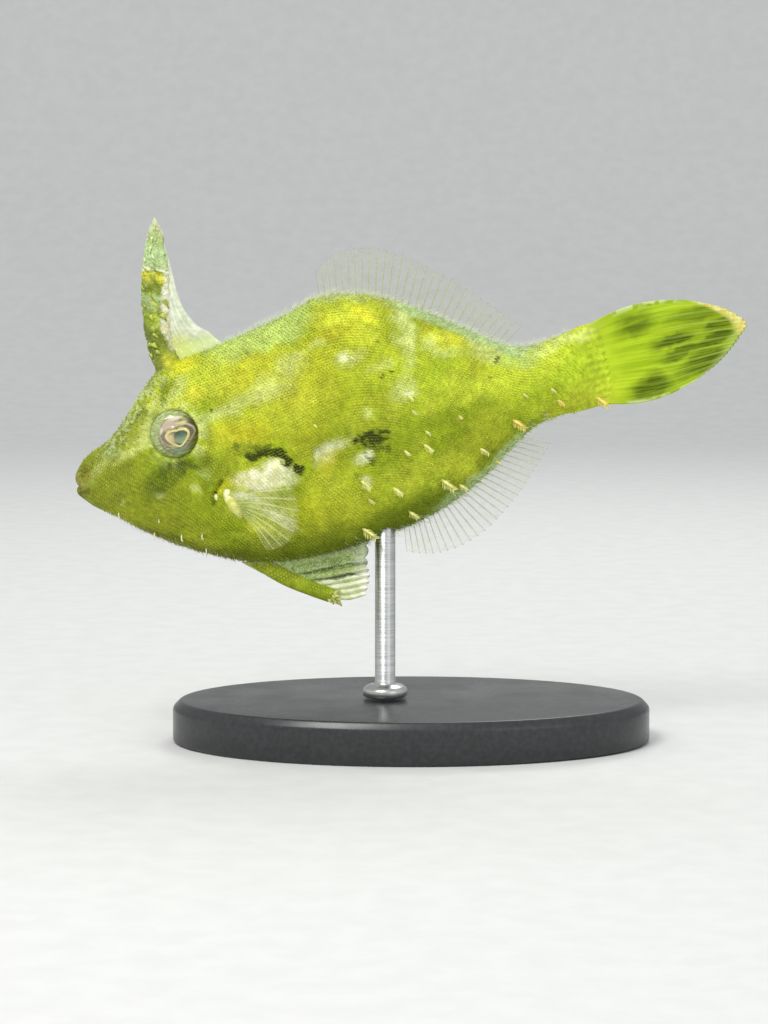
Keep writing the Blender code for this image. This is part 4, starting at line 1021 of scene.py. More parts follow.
@dataclass
class Sleeve:
    """A thin fin as a closed sleeve round a middle surface, with its rays raised.

    Attributes:
        middle: Gives u, w and v of the middle surface from shares along the root and outwards.
        rays: The number of rays.
        web_half: Half the thickness between rays.
        ray_half: Half the thickness on a ray, near the root.
        tip_half: Half the thickness at the edge.
        forks: The shares outwards at which each ray splits in two.
        rows: The number of faces across the rays.
        columns: The number of faces round the sleeve.
        sink: How far below 0 the root starts, as a share outwards.
    """

    middle: Callable[[Array, Array], Places]
    rays: int
    web_half: float = 0.07
    ray_half: float = 0.16
    tip_half: float = 0.05
    forks: tuple[float, ...] = ()
    rows: int = 220
    columns: int = 72
    sink: float = 0.12

    def ridge(self, share: Array, out: Array) -> Array:
        """How much of a ray a place is, from 0 between rays to 1 on one, with the forks."""
        turn = share * (self.rays - 1)
        value = np.cos(np.pi * turn) ** 2
        for k, fork in enumerate(self.forks):
            split = np.cos(np.pi * turn * 2 ** (k + 1) + (np.pi / 2 if k == 0 else 0)) ** 2
            value = value + (split - value) * ease((out - fork) / 0.2)
        return value ** 3

    def place(self, s: Array, t: Array) -> Array:
        """Places the sleeve's vertices: s along the root, t out over one face and back over the other."""
        out = 1 - np.abs(2 * t - 1)
        step = 1e-3
        here, along, outward = (
            np.stack(self.middle(s + ds, out * (1 + self.sink) - self.sink + do), -1)
            for ds, do in ((0, 0), (step, 0), (0, step))
        )
        normal = unit(np.cross(outward - here, along - here))
        body = self.web_half + (self.ray_half - self.web_half) * self.ridge(s, out) * ease((out - 0.1) / 0.5)
        half = body + (self.tip_half - body) * ease((out - 0.3) / 0.7)
        edge = np.minimum.reduce((s / 0.012, (1 - s) / 0.012, (1 - out) / 0.02, out / 0.02, np.ones_like(s)))
        half = half * np.sqrt(np.clip(edge, 0, 1)) * np.sign(0.5 - t)
        return FORM.world(*np.moveaxis(here + normal * half[:, None], -1, 0))

    def lay(self, s: Array, t: Array) -> tuple[Array, Array]:
        """Unwraps the sleeve: rays across and outwards along."""
        return s * (self.rays - 1) / RAY_MAP, 1 - np.abs(2 * t - 1)

    def mesh(self) -> bmesh.types.BMesh:
        """Makes the sleeve, with its faces outwards."""
        bm = sheet(self.rows, self.columns, self.place, {"fin": self.lay})
        if bm.calc_volume(signed=True) < 0:
            bmesh.ops.reverse_faces(bm, faces=bm.faces)
        return bm


@dataclass(frozen=True)
class ClearFin:
    """The finish of a thin, nearly clear fin with pale rays."""

    web: Colour = srgb(196, 206, 156)
    ray: Colour = srgb(172, 178, 124)
    root: Colour = srgb(186, 206, 120)
    web_alpha: float = 0.06
    ray_alpha: float = 0.5
    root_reach: float = 0.14

    def material(self, name: str) -> Material:
        """Makes the finish."""
        graph = Graph(name, clear=True)
        across, out, _ = graph.uv("fin").parts()
        ray = graph.off_ray(across).step(0.13, 0.04) * out.step(1.0, 0.5, 0.5, 1.0)
        beads = graph.noise(graph.uv("fin"), 0.02, 1.0).step(0.45, 0.6, 0.75, 1.0)
        fleshy = out.step(self.root_reach, self.root_reach * 0.3)
        mottle = graph.noise(graph.coordinates(), 0.0007, 3.0)
        colour = graph.mix(ray, graph.mix(mottle.step(0.4, 0.7), self.web, self.ray), self.ray)
        colour = graph.mix(fleshy, colour, self.root)
        cover = ray * beads * (self.ray_alpha - self.web_alpha) + (mottle * 0.1 + self.web_alpha - 0.05)
        alpha = cover.high(fleshy * 0.96)
        return graph.finish(Base_Color=colour, Alpha=alpha, Roughness=0.32)


@dataclass(frozen=True)
class TailFinish:
    """The finish of the tail fin: lime, with dark streaks between its rays, a painted highlight along its outer
    rays and a pale edge.

    Attributes:
        rays: The number of its rays.
        streaks: The dark streaks: u, v, half length, half height, turn in degrees and strength.
    """

    rays: int
    streaks: tuple[tuple[float, ...], ...] = (
        (67.3, 2.8, 2.6, 1.5, 6, 0.75), (71.6, 0.0, 3.2, 0.95, 8, 1.0), (75.0, 2.2, 4.0, 1.2, 2, 0.75),
        (77.2, 0.5, 2.8, 0.9, 8, 0.9), (76.2, -1.0, 3.6, 0.9, 12, 1.0), (74.4, -3.2, 3.9, 1.6, 14, 0.9),
        (72.2, -1.6, 3.4, 0.8, 10, 0.95), (68.0, -4.7, 3.0, 1.5, 6, 0.95), (75.2, -0.6, 6.0, 3.8, 8, 0.5),
    )

    def material(self, name: str) -> Material:
        """Makes the finish, which takes the skin's paint at the fin's root."""
        graph = Graph(name)
        fish = graph.fish()
        frayed = graph.warp(graph.warp(fish, 2.4, 0.7), 0.8, 0.3)
        across, out, _ = graph.uv("fin").parts()
        ray = graph.off_ray(across).step(0.2, 0.02)
        along = graph.uv("fin").vector("MULTIPLY", (1.0, 0.022, 1.0))
        streaky = graph.noise(along, 0.006, 2.0, 0.6)
        broad = graph.noise(along, 0.025, 2.0)
        colour = graph.mix(broad.step(0.35, 0.65), srgb(158, 188, 22), srgb(188, 214, 40))
        colour = graph.mix(streaky.step(0.4, 0.7) * 0.4, colour, srgb(144, 170, 16))
        dark = functools.reduce(Field.high, (
            graph.node("Mapping", {"vector_type": "TEXTURE"}, (
                frayed, (u, 0.0, v), (0.0, -math.radians(turn), 0.0), (long_half, 1000.0, high_half),
            )).vector("LENGTH").step(1.4, 0.35) * strength
            for u, v, long_half, high_half, turn, strength in self.streaks
        ))
        colour = graph.mix(dark * streaky.step(0.3, 0.5, 0.68, 1.0), colour, srgb(88, 108, 2))
        colour = graph.mix(dark.step(0.6, 0.95) * streaky.step(0.5, 0.6) * 0.6, colour, srgb(50, 66, 0))
        # Painted highlight: the outer part of each ray is made paler.
        lit = out.step(0.35, 0.7) * 0.3
        colour = graph.mix(ray * lit, colour, srgb(196, 220, 96))
        u, _, v = fish.parts()
        pale = out.step(0.9, 0.99) * u.step(67.0, 76.0, 0.75, 0.25)
        colour = graph.mix(pale, colour, srgb(206, 222, 150))
        notched = graph.noise(fish, 0.8, 2.0).step(0.35, 0.65)
        edge = across.low(across * -1.0 + (self.rays - 1) / RAY_MAP)
        checks = graph.noise(fish, 1.2, 1.0).step(0.4, 0.56)
        margin = edge.step(0.016, 0.004) * u.step(62.5, 66.0) * u.step(75.5, 73.0)
        colour = graph.mix(margin * checks * 0.75, colour, srgb(206, 220, 150))
        colour = graph.mix(margin * (1.0 - checks) * 0.5, colour, srgb(128, 148, 52))
        tip = (u + v * 0.9).step(77.6, 79.0) * out.step(0.9, 0.96)
        colour = graph.mix(tip, colour, graph.mix(notched, srgb(216, 204, 94), srgb(240, 232, 152)))
        colour = graph.mix(u.step(61.0, 66.5), graph.attribute("paint"), colour)
        normal = graph.bump((ray * 0.05 + streaky * 0.05) * out.step(0.15, 0.55), MM, 0.7)
        return graph.finish(Base_Color=colour, Roughness=0.55, Specular_IOR_Level=0.16, Normal=normal)


@dataclass(frozen=True)
class MedianFin:
    """The form of a soft fin on the back or the belly.

    Attributes:
        name: The node that it stands for.
        edge: The line of the body that it stands on.
        way: 1 on the back, -1 on the belly.
        root: Where its root starts and ends along the fish.
        lean: The lean of its rays in degrees, from share to share of the root.
        ray: The length of its rays, from share to share of the root.
        rays: The number of its rays.
        wave: How far it waves to the sides.
        wave_count: The number of its waves.
    """

    name: str
    edge: Profile
    way: int
    root: tuple[float, float]
    lean: Profile
    ray: Profile
    rays: int
    wave: float = 0.6
    wave_count: float = 1.6

    def middle(self, share: Array, out: Array) -> Places:
        """A point of the fin's middle surface."""
        u = self.root[0] + (self.root[1] - self.root[0]) * share
        lean = np.radians(self.lean(share))
        scallop = 1 - 0.02 * (1 - np.cos(2 * np.pi * share * (self.rays - 1))) * ease((out - 0.6) / 0.4)
        reach = self.ray(share) * out * scallop
        wave = self.way * self.wave * np.sin(2 * np.pi * self.wave_count * share) * out
        return u + reach * np.cos(lean), wave, self.edge(u) + self.way * 0.3 + reach * np.sin(lean)


@dataclass
class Fins:
    """The tail fin, the soft dorsal and anal fins, and the pair of pectoral fins."""

    median: tuple[MedianFin, ...] = (
        MedianFin(
            "soft_dorsal_fin", FORM.back, 1, (32.4, 52.2),
            Profile(((0.0, 86.0), (0.3, 75.0), (0.6, 57.0), (1.0, 33.0))),
            Profile(((0.0, 3.0), (0.12, 4.5), (0.3, 5.3), (0.6, 4.7), (1.0, 2.8))), 29,
        ),
        MedianFin(
            "anal_fin", FORM.belly, -1, (35.9, 52.0),
            Profile(((0.0, -97.0), (0.25, -79.0), (0.4, -63.0), (0.6, -44.0), (1.0, -26.0))),
            Profile(((0.0, 2.6), (0.15, 3.9), (0.35, 4.8), (0.65, 4.4), (1.0, 3.2))), 27,
        ),
    )
    tail_root: float = 61.5
    tail_rays: int = 12
    tail_bulge: tuple[float, float] = (1.08, 1.15)
    tail_edge: tuple[Profile, ...] = profiles(
        (0.0, 74.3, 4.1), (0.17, 78.3, 2.1), (0.3, 80.3, 0.2), (0.5, 79.1, -1.6), (0.68, 77.4, -3.0),
        (0.85, 75.6, -4.1), (1.0, 73.4, -5.1),
    )
    pectoral_root: tuple[tuple[float, float], tuple[float, float]] = ((17.5, -5.2), (18.3, -8.2))
    pectoral_spread: tuple[float, float] = (math.radians(34), math.radians(-58))
    pectoral_ray: Profile = Profile(((0.0, 6.2), (0.25, 7.8), (0.5, 8.2), (0.75, 7.4), (1.0, 5.2)))
    pectoral_rays: int = 12
    pectoral_splay: float = math.radians(27)
    pectoral_standoff: float = 0.55
    stalk_sides: int = 14
    stalk: tuple = (
        (((16.9, -4.4, -0.9), (17.1, -5.1, -0.42), (17.35, -6.0, -0.16), (17.65, -7.1, -0.14),
          (17.95, -8.2, -0.36), (18.1, -9.1, -0.95)), (0.3, 0.66, 0.84, 0.8, 0.5)),
        (((15.6, -5.1, -0.5), (15.7, -5.3, -0.28), (15.8, -5.55, -0.2), (16.0, -5.8, -0.2),
          (16.15, -6.1, -0.3), (16.3, -6.3, -0.6)), (0.2, 0.34, 0.38, 0.34, 0.22)),
    )

    def tail(self, share: Array, out: Array) -> Places:
        """A point of the tail fin's middle surface, from its top ray to its lowest."""
        top, low = FORM.back(self.tail_root) - 0.35, FORM.belly(self.tail_root) + 0.3
        root_v = top * (1 - share) + low * share
        bulge = (1 - 2 * share) * hump(out) * np.where(share < 0.5, *self.tail_bulge)
        notches = 1 - np.cos(2 * np.pi * share * (self.tail_rays - 1) * 2)
        fringe = 1 - 0.006 * notches * ease((out - 0.8) / 0.2)
        edge_u, edge_v = (edge(share) for edge in self.tail_edge)
        u = self.tail_root + (edge_u - self.tail_root) * out * fringe
        return u, 0.12 * np.sin(5 * share) * out, root_v + (edge_v - root_v) * out + bulge

    def pectoral(self, side: Side) -> Callable:
        """Gives the middle surface of the pectoral fin on one side."""
        (top_u, top_v), (low_u, low_v) = self.pectoral_root
        first, last = self.pectoral_spread

        def at(share: Array, out: Array) -> Places:
            """A point of the fin's middle surface."""
            u, v = top_u + (low_u - top_u) * share, top_v + (low_v - top_v) * share
            turn = first + (last - first) * share - 0.16 * np.sin(np.pi * out / 2) ** 2
            reach = self.pectoral_ray(share) * out
            root_w = FORM.skin_width(u, v) + self.pectoral_standoff
            w = root_w + reach * math.sin(self.pectoral_splay) + 0.25 * hump(out)
            flat = reach * math.cos(self.pectoral_splay)
            return u + flat * np.cos(turn), side.value * w, v + flat * np.sin(turn)

        return at

    def build(self, skin: SkinFinish) -> None:
        """Makes the five fins."""
        sleeve = Sleeve(
            self.tail, self.tail_rays, web_half=0.16, ray_half=0.27, tip_half=0.05, forks=(0.4, 0.72),
            rows=200, columns=120,
        )
        finish = TailFinish(self.tail_rays).material("tail_web")
        tail = make_object("tail_fin_rays", sleeve.mesh(), finish)
        paint_mesh(tail, skin)
        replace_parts(tail, "tail_fin")
        web = ClearFin().material("fin_web")
        for form in self.median:
            sleeve = Sleeve(
                form.middle, form.rays, web_half=0.05, ray_half=0.13, tip_half=0.035, forks=(0.7,),
                rows=form.rays * 9, columns=48, sink=0.2,
            )
            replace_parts(make_object(form.name + "_rays", sleeve.mesh(), web), form.name)
        clear = ClearFin(ray=srgb(232, 232, 170), root=srgb(214, 216, 96), root_reach=0.2)
        web = clear.material("pectoral_web")
        for side in Side:
            name = "pectoral_fin_" + side.word
            sleeve = Sleeve(
                self.pectoral(side), self.pectoral_rays, web_half=0.05, ray_half=0.14, tip_half=0.035,
                forks=(0.6,), rows=130, columns=60, sink=0.15,
            )
            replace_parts(make_object(name + "_rays", sleeve.mesh(), web), name)
        self.stalks()

    def stalks(self) -> None:
        """Makes the fleshy stalks that carry the pectoral fins, with a painted highlight along their upper
        part.
        """
        paths, radii = [], []
        for side in Side:
            for line, sizes in self.stalk:
                u, v, lift = np.array(line).T
                paths.append(FORM.world(u, side.value * (FORM.skin_width(u, v) + lift), v))
                radii.append(np.array(sizes) * MM)
        graph = Graph("stalk_skin")
        tone = graph.noise(graph.fish(), 0.7, 3.0)
        _, _, v = graph.fish().parts()
        colour = graph.mix(tone.step(0.4, 0.6), srgb(216, 218, 94), srgb(242, 240, 150))
        # Painted highlight: the upper part of each stalk is turned near white.
        colour = graph.mix(v.step(-6.6, -4.9) * tone.step(0.35, 0.55) * 0.85, colour, srgb(250, 244, 208))
        material = graph.finish(Base_Color=colour, Roughness=0.45, Normal=graph.bump(tone, 0.2 * MM, 0.8))
        mesh = tufts("stalks", np.array(paths), np.array(radii), self.stalk_sides)
        tuft_piece("pectoral_stalks", mesh, material)


@dataclass
class DorsalSpine:
    """The erect first dorsal spine with its barbs and granules, and the web behind it.

    Attributes:
        line: From foot to tip, the spine's middle u and v and half its length and width.
        web_u: The web's rear edge along the fish, from its top to the back.
        web_v: The height of that edge.
        web_rays: The number of folds in the web.
        foot: How far its foot reaches into the back, for a share of 1.
        barb_rows: The number of rows of barbs.
        barb_sorts: The chance, turn, fall and length of the barbs in each row.
        granule_count: The number of granules.
        bands: The bands of paint: place, half width, paint and strength.
        seed: The source of chance.
    """

    line: tuple[Profile, ...] = profiles(
        (0.0, 13.4, 10.9, 1.55, 0.95), (0.167, 13.15, 12.7, 1.42, 0.85), (0.333, 13.4, 15.6, 1.5, 0.82),
        (0.5, 14.05, 19.1, 1.6, 0.8), (0.667, 14.85, 22.5, 1.42, 0.72), (0.833, 15.45, 25.2, 0.9, 0.54),
        (0.95, 15.75, 26.6, 0.42, 0.34), (1.0, 15.93, 27.45, 0.0, 0.0),
    )
    web_u: Profile = Profile((
        (0.0, 16.25), (0.1, 16.4), (0.2, 16.45), (0.4, 16.5), (0.6, 16.95), (0.8, 18.3), (1.0, 21.4),
    ))
    web_v: Profile = Profile(((0.0, 24.3), (0.2, 21.0), (0.4, 18.1), (0.6, 15.9), (0.8, 13.7), (1.0, 11.8)))
    web_rays: int = 13
    foot: float = 12.0
    barb_rows: int = 12
    barb_sorts: tuple[tuple[float, ...], ...] = (
        (1.0, 2.0, 0.05, 1.0), (0.45, 1.0, 0.05, 0.6), (0.4, 2.6, 0.025, 0.6),
    )
    granule_count: int = 420
    bands: tuple[tuple[float, float, Paint, float], ...] = (
        (21.0, 1.1, Paint.MOSS, 0.5), (23.2, 0.9, Paint.LIME, 0.6), (25.4, 1.0, Paint.MINT, 0.7),
        (27.0, 0.6, Paint.MOSS, 0.4), (28.6, 0.7, Paint.SUN, 0.9), (31.4, 1.0, Paint.MINT, 0.9),
        (33.4, 0.7, Paint.LEAF, 0.35), (35.0, 0.6, Paint.OLIVE, 0.5),
    )
    seed: int = 11

    def at(self, share: Array, turn: Array, lift: float = 0.0) -> Places:
        """A place on the spine's skin, in the fish's frame.

        Args:
            share: Shares of the height, from a little below the skin of the back.
            turn: Angles round the spine: 0 points to the tail and a quarter turn to the far side.
            lift: How far outside the skin.

        Returns:
            The places u, w and v.
        """
        line_u, line_v, long_half, wide_half = self.line
        above, below = np.minimum(share + 0.04, 1), np.maximum(share - 0.04, 0)
        tilt = np.arctan2(line_u(above) - line_u(below), line_v(above) - line_v(below))
        low = np.minimum(share, 0.0) * self.foot
        along = (long_half(share) + lift) * np.cos(turn)
        w = (wide_half(share) + lift) * np.sign(np.sin(turn)) * np.abs(np.sin(turn)) ** 1.15
        return line_u(share) + along * np.cos(tilt), w, line_v(share) + low - along * np.sin(tilt)

    def place(self, s: Array, t: Array) -> Array:
        """Places the spine's skin, with a grooved back edge and a rugged surface."""
        share, turn = np.where(s >= 1, 1.0, s * 1.1 - 0.1), 2 * np.pi * t
        at = np.stack(self.at(share, turn), -1)
        rough = 0.34 * (cloud(at * (1.0, 1.0, 1.4), 0.9, 3) - 0.5) + 0.22 * (cloud(at, 0.36, 4) - 0.5)
        groove = 0.14 * bell((turn - 5.2) / 0.5) + 0.14 * bell((turn - 1.08) / 0.5)
        return FORM.world(*self.at(share, turn, (rough - groove) * ease((1 - share) / 0.1)))

    def barbs(self, draw: np.random.Generator) -> bpy.types.Mesh:
        """Makes the barbs: rows that slant back and down over each side and stand off its edges."""
        paths, radii = [], []
        for row, side, sort in itertools.product(range(self.barb_rows), Side, self.barb_sorts):
            chance, start, fall, length = sort
            if draw.uniform() > chance:
                continue
            size = 1.0 - 0.45 * row / self.barb_rows
            share = 0.14 + 0.062 * row + draw.uniform(-0.022, 0.022)
            turn = start + draw.uniform(-0.2, 0.2)
            long = length * size * draw.uniform(0.6, 1.2)
            root, middle, tip = (
                np.array(self.at(np.array(share - drop), np.array(side.value * (turn - back * long)), lift))
                for drop, back, lift in (
                    (0, 0, -0.14), (fall * 0.4, 0.35, 0.1), (fall, 0.75, 0.1 + 0.12 * long),
                )
            )
            paths.append([FORM.world(*p) for p in (root, (root + middle) / 2, middle, tip)])
            radii.append(np.array((0.5, 0.46, 0.26)) * size * draw.uniform(0.65, 1.15) * MM)
        return tufts("barbs", np.array(paths), np.array(radii), 7, 0.5)

    def granules(self, draw: np.random.Generator) -> bpy.types.Mesh:
        """Makes the pale granules that stud the spine's edges."""
        share = draw.uniform(0.04, 0.97, self.granule_count)
        turn = draw.uniform(0, 2 * np.pi, self.granule_count)
        size = draw.uniform(0.5, 1.0, self.granule_count) * (0.7 + 0.3 * np.cos(2 * turn))
        low, high = (FORM.world(*self.at(share, turn, lift)) for lift in (-0.05, 0.22))
        reach = (high - low) * size[:, None]
        paths = np.stack((low, low + reach * 0.6, low + reach), 1)
        return tufts("granules", paths, np.stack((size * 0.075, size * 0.05), 1) * MM, 5)

    def web(self, s: Array, out: Array) -> Places:
        """A point of the web's middle surface, from its top to the back and from the spine outwards."""
        line_u, line_v, long_half, _ = self.line
        share = 0.02 + 0.74 * (1 - s)
        u0, v0 = line_u(share) + long_half(share) * 0.35, line_v(share)
        u, v = u0 + (self.web_u(s) - u0) * out, v0 + (self.web_v(s) - v0) * out
        v = v + (FORM.back(u) - 0.6 - v) * ease((s - 0.84) / 0.16)
        return u, 0.12 * np.sin(9 * s) * hump(out), v

    def finish(self) -> Material:
        """Makes the spine's finish: olive and mint bands, brighter to the back, and a pale tip."""
        graph = Graph("spine_skin")
        fish = graph.warp(graph.warp(graph.fish(), 1.6, 0.8), 0.4, 0.2)
        u, _, v = fish.parts()
        slant = v + u * 0.55
        colour = graph.mix(slant.step(29.2, 30.2), Paint.OLIVE.value, srgb(184, 204, 142))
        for middle, half, paint, strength in self.bands:
            colour = graph.mix(slant.near(middle, half * 1.4, half * 0.3) * strength, colour, paint.value)
        colour = graph.mix(slant.step(33.4, 35.4) * 0.8, colour, srgb(222, 226, 178))
        colour = graph.mix(slant.near(29.7, 0.24, 0.08) * 0.85, colour, Paint.CREAM.value)
        grain = graph.noise(graph.fish(), 0.22, 2.0)
        coarse = graph.noise(graph.fish(), 0.7, 2.0)
        both = grain * 0.5 + coarse * 0.5
        colour = graph.mix(both.step(0.55, 0.68) * 0.5, colour, Paint.PALE.value)
        colour = graph.mix(both.step(0.48, 0.36) * 0.6, colour, Paint.MOSS.value)
        colour = graph.mix(slant.step(19.6, 17.8) * 0.85, colour, Paint.SUN.value)
        near_u, _, near_v = graph.warp(graph.fish(), 0.7, 0.22).parts()
        border = (near_v - 15.3).high(0.0) * 0.33 + (15.3 - near_v).high(0.0) * 0.17
        rear = (near_u - border).step(13.4, 14.0) * near_v.step(22.5, 19.0) * near_v.step(11.4, 12.6)
        bare = graph.mix(coarse.step(0.4, 0.6), srgb(226, 216, 170), srgb(248, 250, 232))
        colour = graph.mix(rear * 0.9, colour, bare)
        front = (near_u - border).step(12.9, 11.9) * near_v.step(24.0, 20.0)
        colour = graph.mix(front * near_v.step(13.0, 19.5, 0.85, 0.25), colour, Paint.MOSS.value)
        return graph.finish(Base_Color=colour, Roughness=0.5, Normal=graph.bump(grain + coarse, 0.25 * MM, 0.9))

    def horn(self) -> Material:
        """Makes the finish of the barbs, olive below and mint above."""
        graph = Graph("barb_horn")
        tone = graph.noise(graph.fish(), 0.6, 2.0)
        _, _, v = graph.fish().parts()
        low = graph.mix(tone.step(0.4, 0.62), srgb(136, 152, 46), srgb(190, 198, 78))
        high = graph.mix(tone.step(0.4, 0.6), srgb(168, 200, 130), srgb(222, 234, 190))
        colour = graph.mix(v.step(20.0, 23.5), low, high)
        return graph.finish(Base_Color=colour, Roughness=0.4, Normal=graph.bump(tone, 0.05 * MM))

    def build(self) -> None:
        """Makes the spine, its barbs, its granules and its web."""
        draw = np.random.default_rng(self.seed)
        spine = make_object("dorsal_spine_skin", sheet(240, 96, self.place), self.finish())
        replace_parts(spine, "dorsal_spine")
        tuft_piece("spine_barbs", self.barbs(draw), self.horn())
        granule = Bristle(srgb(236, 240, 206)).material("granule")
        tuft_piece("spine_granules", self.granules(draw), granule)
        sleeve = Sleeve(
            self.web, self.web_rays, web_half=0.1, ray_half=0.13, tip_half=0.05, rows=150, columns=60, sink=0.0,
        )
        web = make_object("spine_web", sleeve.mesh(), self.web_finish())
        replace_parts(web, "spine_membrane")

    def web_finish(self) -> Material:
        """Makes the finish of the web: whitish, cloudy and half clear, yellow at its foot."""
        graph = Graph("spine_web_skin", clear=True)
        fish = graph.fish()
        _, out, _ = graph.uv("fin").parts()
        _, _, v = fish.parts()
        along = graph.warp(graph.uv("fin"), 0.3, 0.05).vector("MULTIPLY", (0.35, 1.0, 1.0))
        folds = graph.noise(along, 0.09, 2.0)
        mottle = graph.noise(fish, 0.9, 3.0) * 0.5 + folds * 0.5
        colour = graph.mix(mottle.step(0.35, 0.65), srgb(204, 214, 176), srgb(242, 246, 224))
        colour = graph.mix(out.step(0.92, 0.99) * 0.7, colour, srgb(250, 250, 240))
        colour = graph.mix(v.step(14.6, 12.4) * out.step(0.75, 0.35) * 0.85, colour, srgb(214, 214, 92))
        colour = graph.mix(v.step(13.6, 12.2) * 0.6, colour, srgb(204, 222, 130))
        colour = graph.mix(out.step(0.3, 0.05) * mottle.step(0.4, 0.6) * 0.8, colour, srgb(222, 206, 128))
        flecks = graph.noise(fish, 0.25, 1.0).step(0.62, 0.7)
        colour = graph.mix(flecks, colour, srgb(246, 246, 232))
        alpha = mottle.step(0.36, 0.65, 0.66, 0.92) * v.step(22.0, 15.0, 0.8, 1.0)
        alpha = alpha.high(out.step(0.2, 0.0)).high(v.step(14.0, 12.0))
        normal = graph.bump(mottle, 0.3 * MM, 0.6)
        return graph.finish(Base_Color=colour, Alpha=alpha, Roughness=0.5, Normal=normal)


@dataclass(frozen=True)
class Bristle:
    """The finish of small bristles and tassels: one tone, paler to some tips."""

    colour: Colour
    roughness: float = 0.45

    def material(self, name: str) -> Material:
        """Makes the finish."""
        graph = Graph(name)
        tone = graph.noise(graph.coordinates(), 0.0005, 2.0)
        dark, light = (graph.scale_colour(self.colour, by) for by in (0.82, 1.08))
        shade = graph.mix(tone.step(0.35, 0.65), dark, light)
        return graph.finish(Base_Color=shade, Roughness=self.roughness)


@dataclass
class PelvicFlap:
    """The folded flap of skin behind the pelvic bone, with its fringe and the spiny scales at its tip."""

    bone_line: tuple[Profile, ...] = profiles(
        (0.0, 17.2, -14.0), (0.35, 20.4, -16.9), (0.7, 23.4, -18.9), (1.0, 25.9, -20.35),
    )
    edge_line: tuple[Profile, ...] = profiles(
        (0.0, 31.6, -14.6), (0.25, 30.8, -17.0), (0.6, 30.6, -19.0), (1.0, 29.7, -20.95),
    )
    folds: int = 8
    # The heights of the two dark lines of painted shade along the flap's creases
    crease_shades: tuple[float, ...] = (-16.6, -17.9)
    spine_count: int = 34
    seed: int = 5

    def middle(self, share: Array, out: Array) -> Places:
        """A point of the middle surface, from the belly to the lowest fold, and from the bone to the edge."""
        share = share + 0.025 * np.sin(9.0 * share + 0.6) * hump(share)
        lobe = np.abs(np.cos(np.pi * share * (self.folds - 1)))
        fringe = 0.5 * (np.sqrt(lobe + 0.02) - 0.7) * ease((out - 0.72) / 0.28)
        (u0, v0), (u1, v1) = ([part(share) for part in line] for line in (self.bone_line, self.edge_line))
        folded = 0.24 * np.sin(2 * np.pi * share * (self.folds - 1)) * ease((out - 0.05) / 0.5)
        w = folded * share ** 0.3 + 0.3 * np.sin(3.4 * out) * share
        return u0 + (u1 - u0) * out + fringe, w, v0 + (v1 - v0) * out - 0.5 * hump(out) * (share - 0.3)

    def finish(self) -> Material:
        """Makes the flap's finish: olive to mint, painted shade in its creases and folds, cream along the
        fringe.
        """
        graph = Graph("flap_skin")
        across, out, _ = graph.uv("fin").parts()
        ridge = graph.off_ray(across).step(0.42, 0.1)
        fish = graph.fish()
        mottle = graph.noise(fish, 0.8, 3.0)
        colour = graph.mix(mottle.step(0.35, 0.65), srgb(128, 156, 66), srgb(168, 192, 104))
        _, _, v = graph.warp(fish, 1.5, 0.5).parts()
        low = v.step(-17.4, -18.8)
        pale = graph.mix(mottle.step(0.4, 0.6), srgb(216, 228, 168), srgb(248, 250, 216))
        colour = graph.mix(low * 0.95, colour, pale)
        # Painted shade: a dark line along each crease of the flap.
        for crease in self.crease_shades:
            dark = (v - crease + out * 0.5).math("ABSOLUTE").step(0.26, 0.06) * out.step(0.2, 0.5)
            colour = graph.mix(dark * 0.8, colour, srgb(50, 62, 22))
        # Painted shade: darker in the folds between the ridges.
        colour = graph.mix(ridge.step(0.5, 0.0) * 0.35, colour, graph.scale_colour(colour, 0.62))
        colour = graph.mix(out.step(0.8, 0.97) * (low * 0.6 + 0.38), colour, srgb(255, 255, 236))
        bone = graph.mix(mottle.step(0.4, 0.62), Paint.LEAF.value, Paint.GOLD.value)
        colour = graph.mix(out.step(0.2, 0.04) * 0.9, colour, bone)
        grain = graph.noise(fish, 0.2, 2.0)
        colour = graph.mix(grain.step(0.52, 0.62) * 0.4, colour, srgb(246, 248, 214))
        normal = graph.bump(grain + ridge * 0.5, 0.12 * MM, 0.8)
        return graph.finish(Base_Color=colour, Roughness=0.55, Normal=normal)

    def rudiment(self) -> bpy.types.Mesh:
        """Makes the spiny scales that sheathe the end of the pelvic bone."""
        draw = np.random.default_rng(self.seed)
        line_u, line_v = self.bone_line
        paths, radii = [], []
        for k in range(self.spine_count):
            back = draw.uniform(0, 1)
            share = 1.0 - 0.13 * back
            root = np.array((line_u(share) + 0.35, 0.0, line_v(share) - 0.15), float)
            turn = 2 * np.pi * (k * 0.382 % 1)
            out = np.array((0.55 - 0.3 * back, 0.62 * np.sin(turn), -0.35 + 0.7 * np.cos(turn)))
            out /= np.linalg.norm(out)
            size = draw.uniform(0.75, 1.1)
            paths.append([FORM.world(*(root + out * reach * size)) for reach in (0.15, 0.6, 0.95, 1.25)])
            radii.append(np.array((0.34, 0.26, 0.15)) * size * MM)
        return tufts("rudiment", np.array(paths), np.array(radii), 7)

    def bone(self, s: Array, t: Array) -> Array:
        """Places the skin over the pelvic bone, with both ends closed."""
        share, turn, lift = -0.05 + 1.05 * s, 2 * np.pi * t, 0.55 * (1 - s)
        ends = np.sqrt(np.clip(np.minimum(s / 0.06, (1 - s) / 0.05), 0, 1))
        u, v = (part(share) for part in self.bone_line)
        u, v = u + 0.3 + 0.59 * lift, v + np.minimum(share, 0) * 12 + 0.81 * lift
        long, wide = (0.5 + 0.36 * s + lift) * ends, (0.42 + 0.34 * s) * ends
        return FORM.world(u + long * np.cos(turn) * 0.55, wide * np.sin(turn), v + long * np.cos(turn) * 0.83)

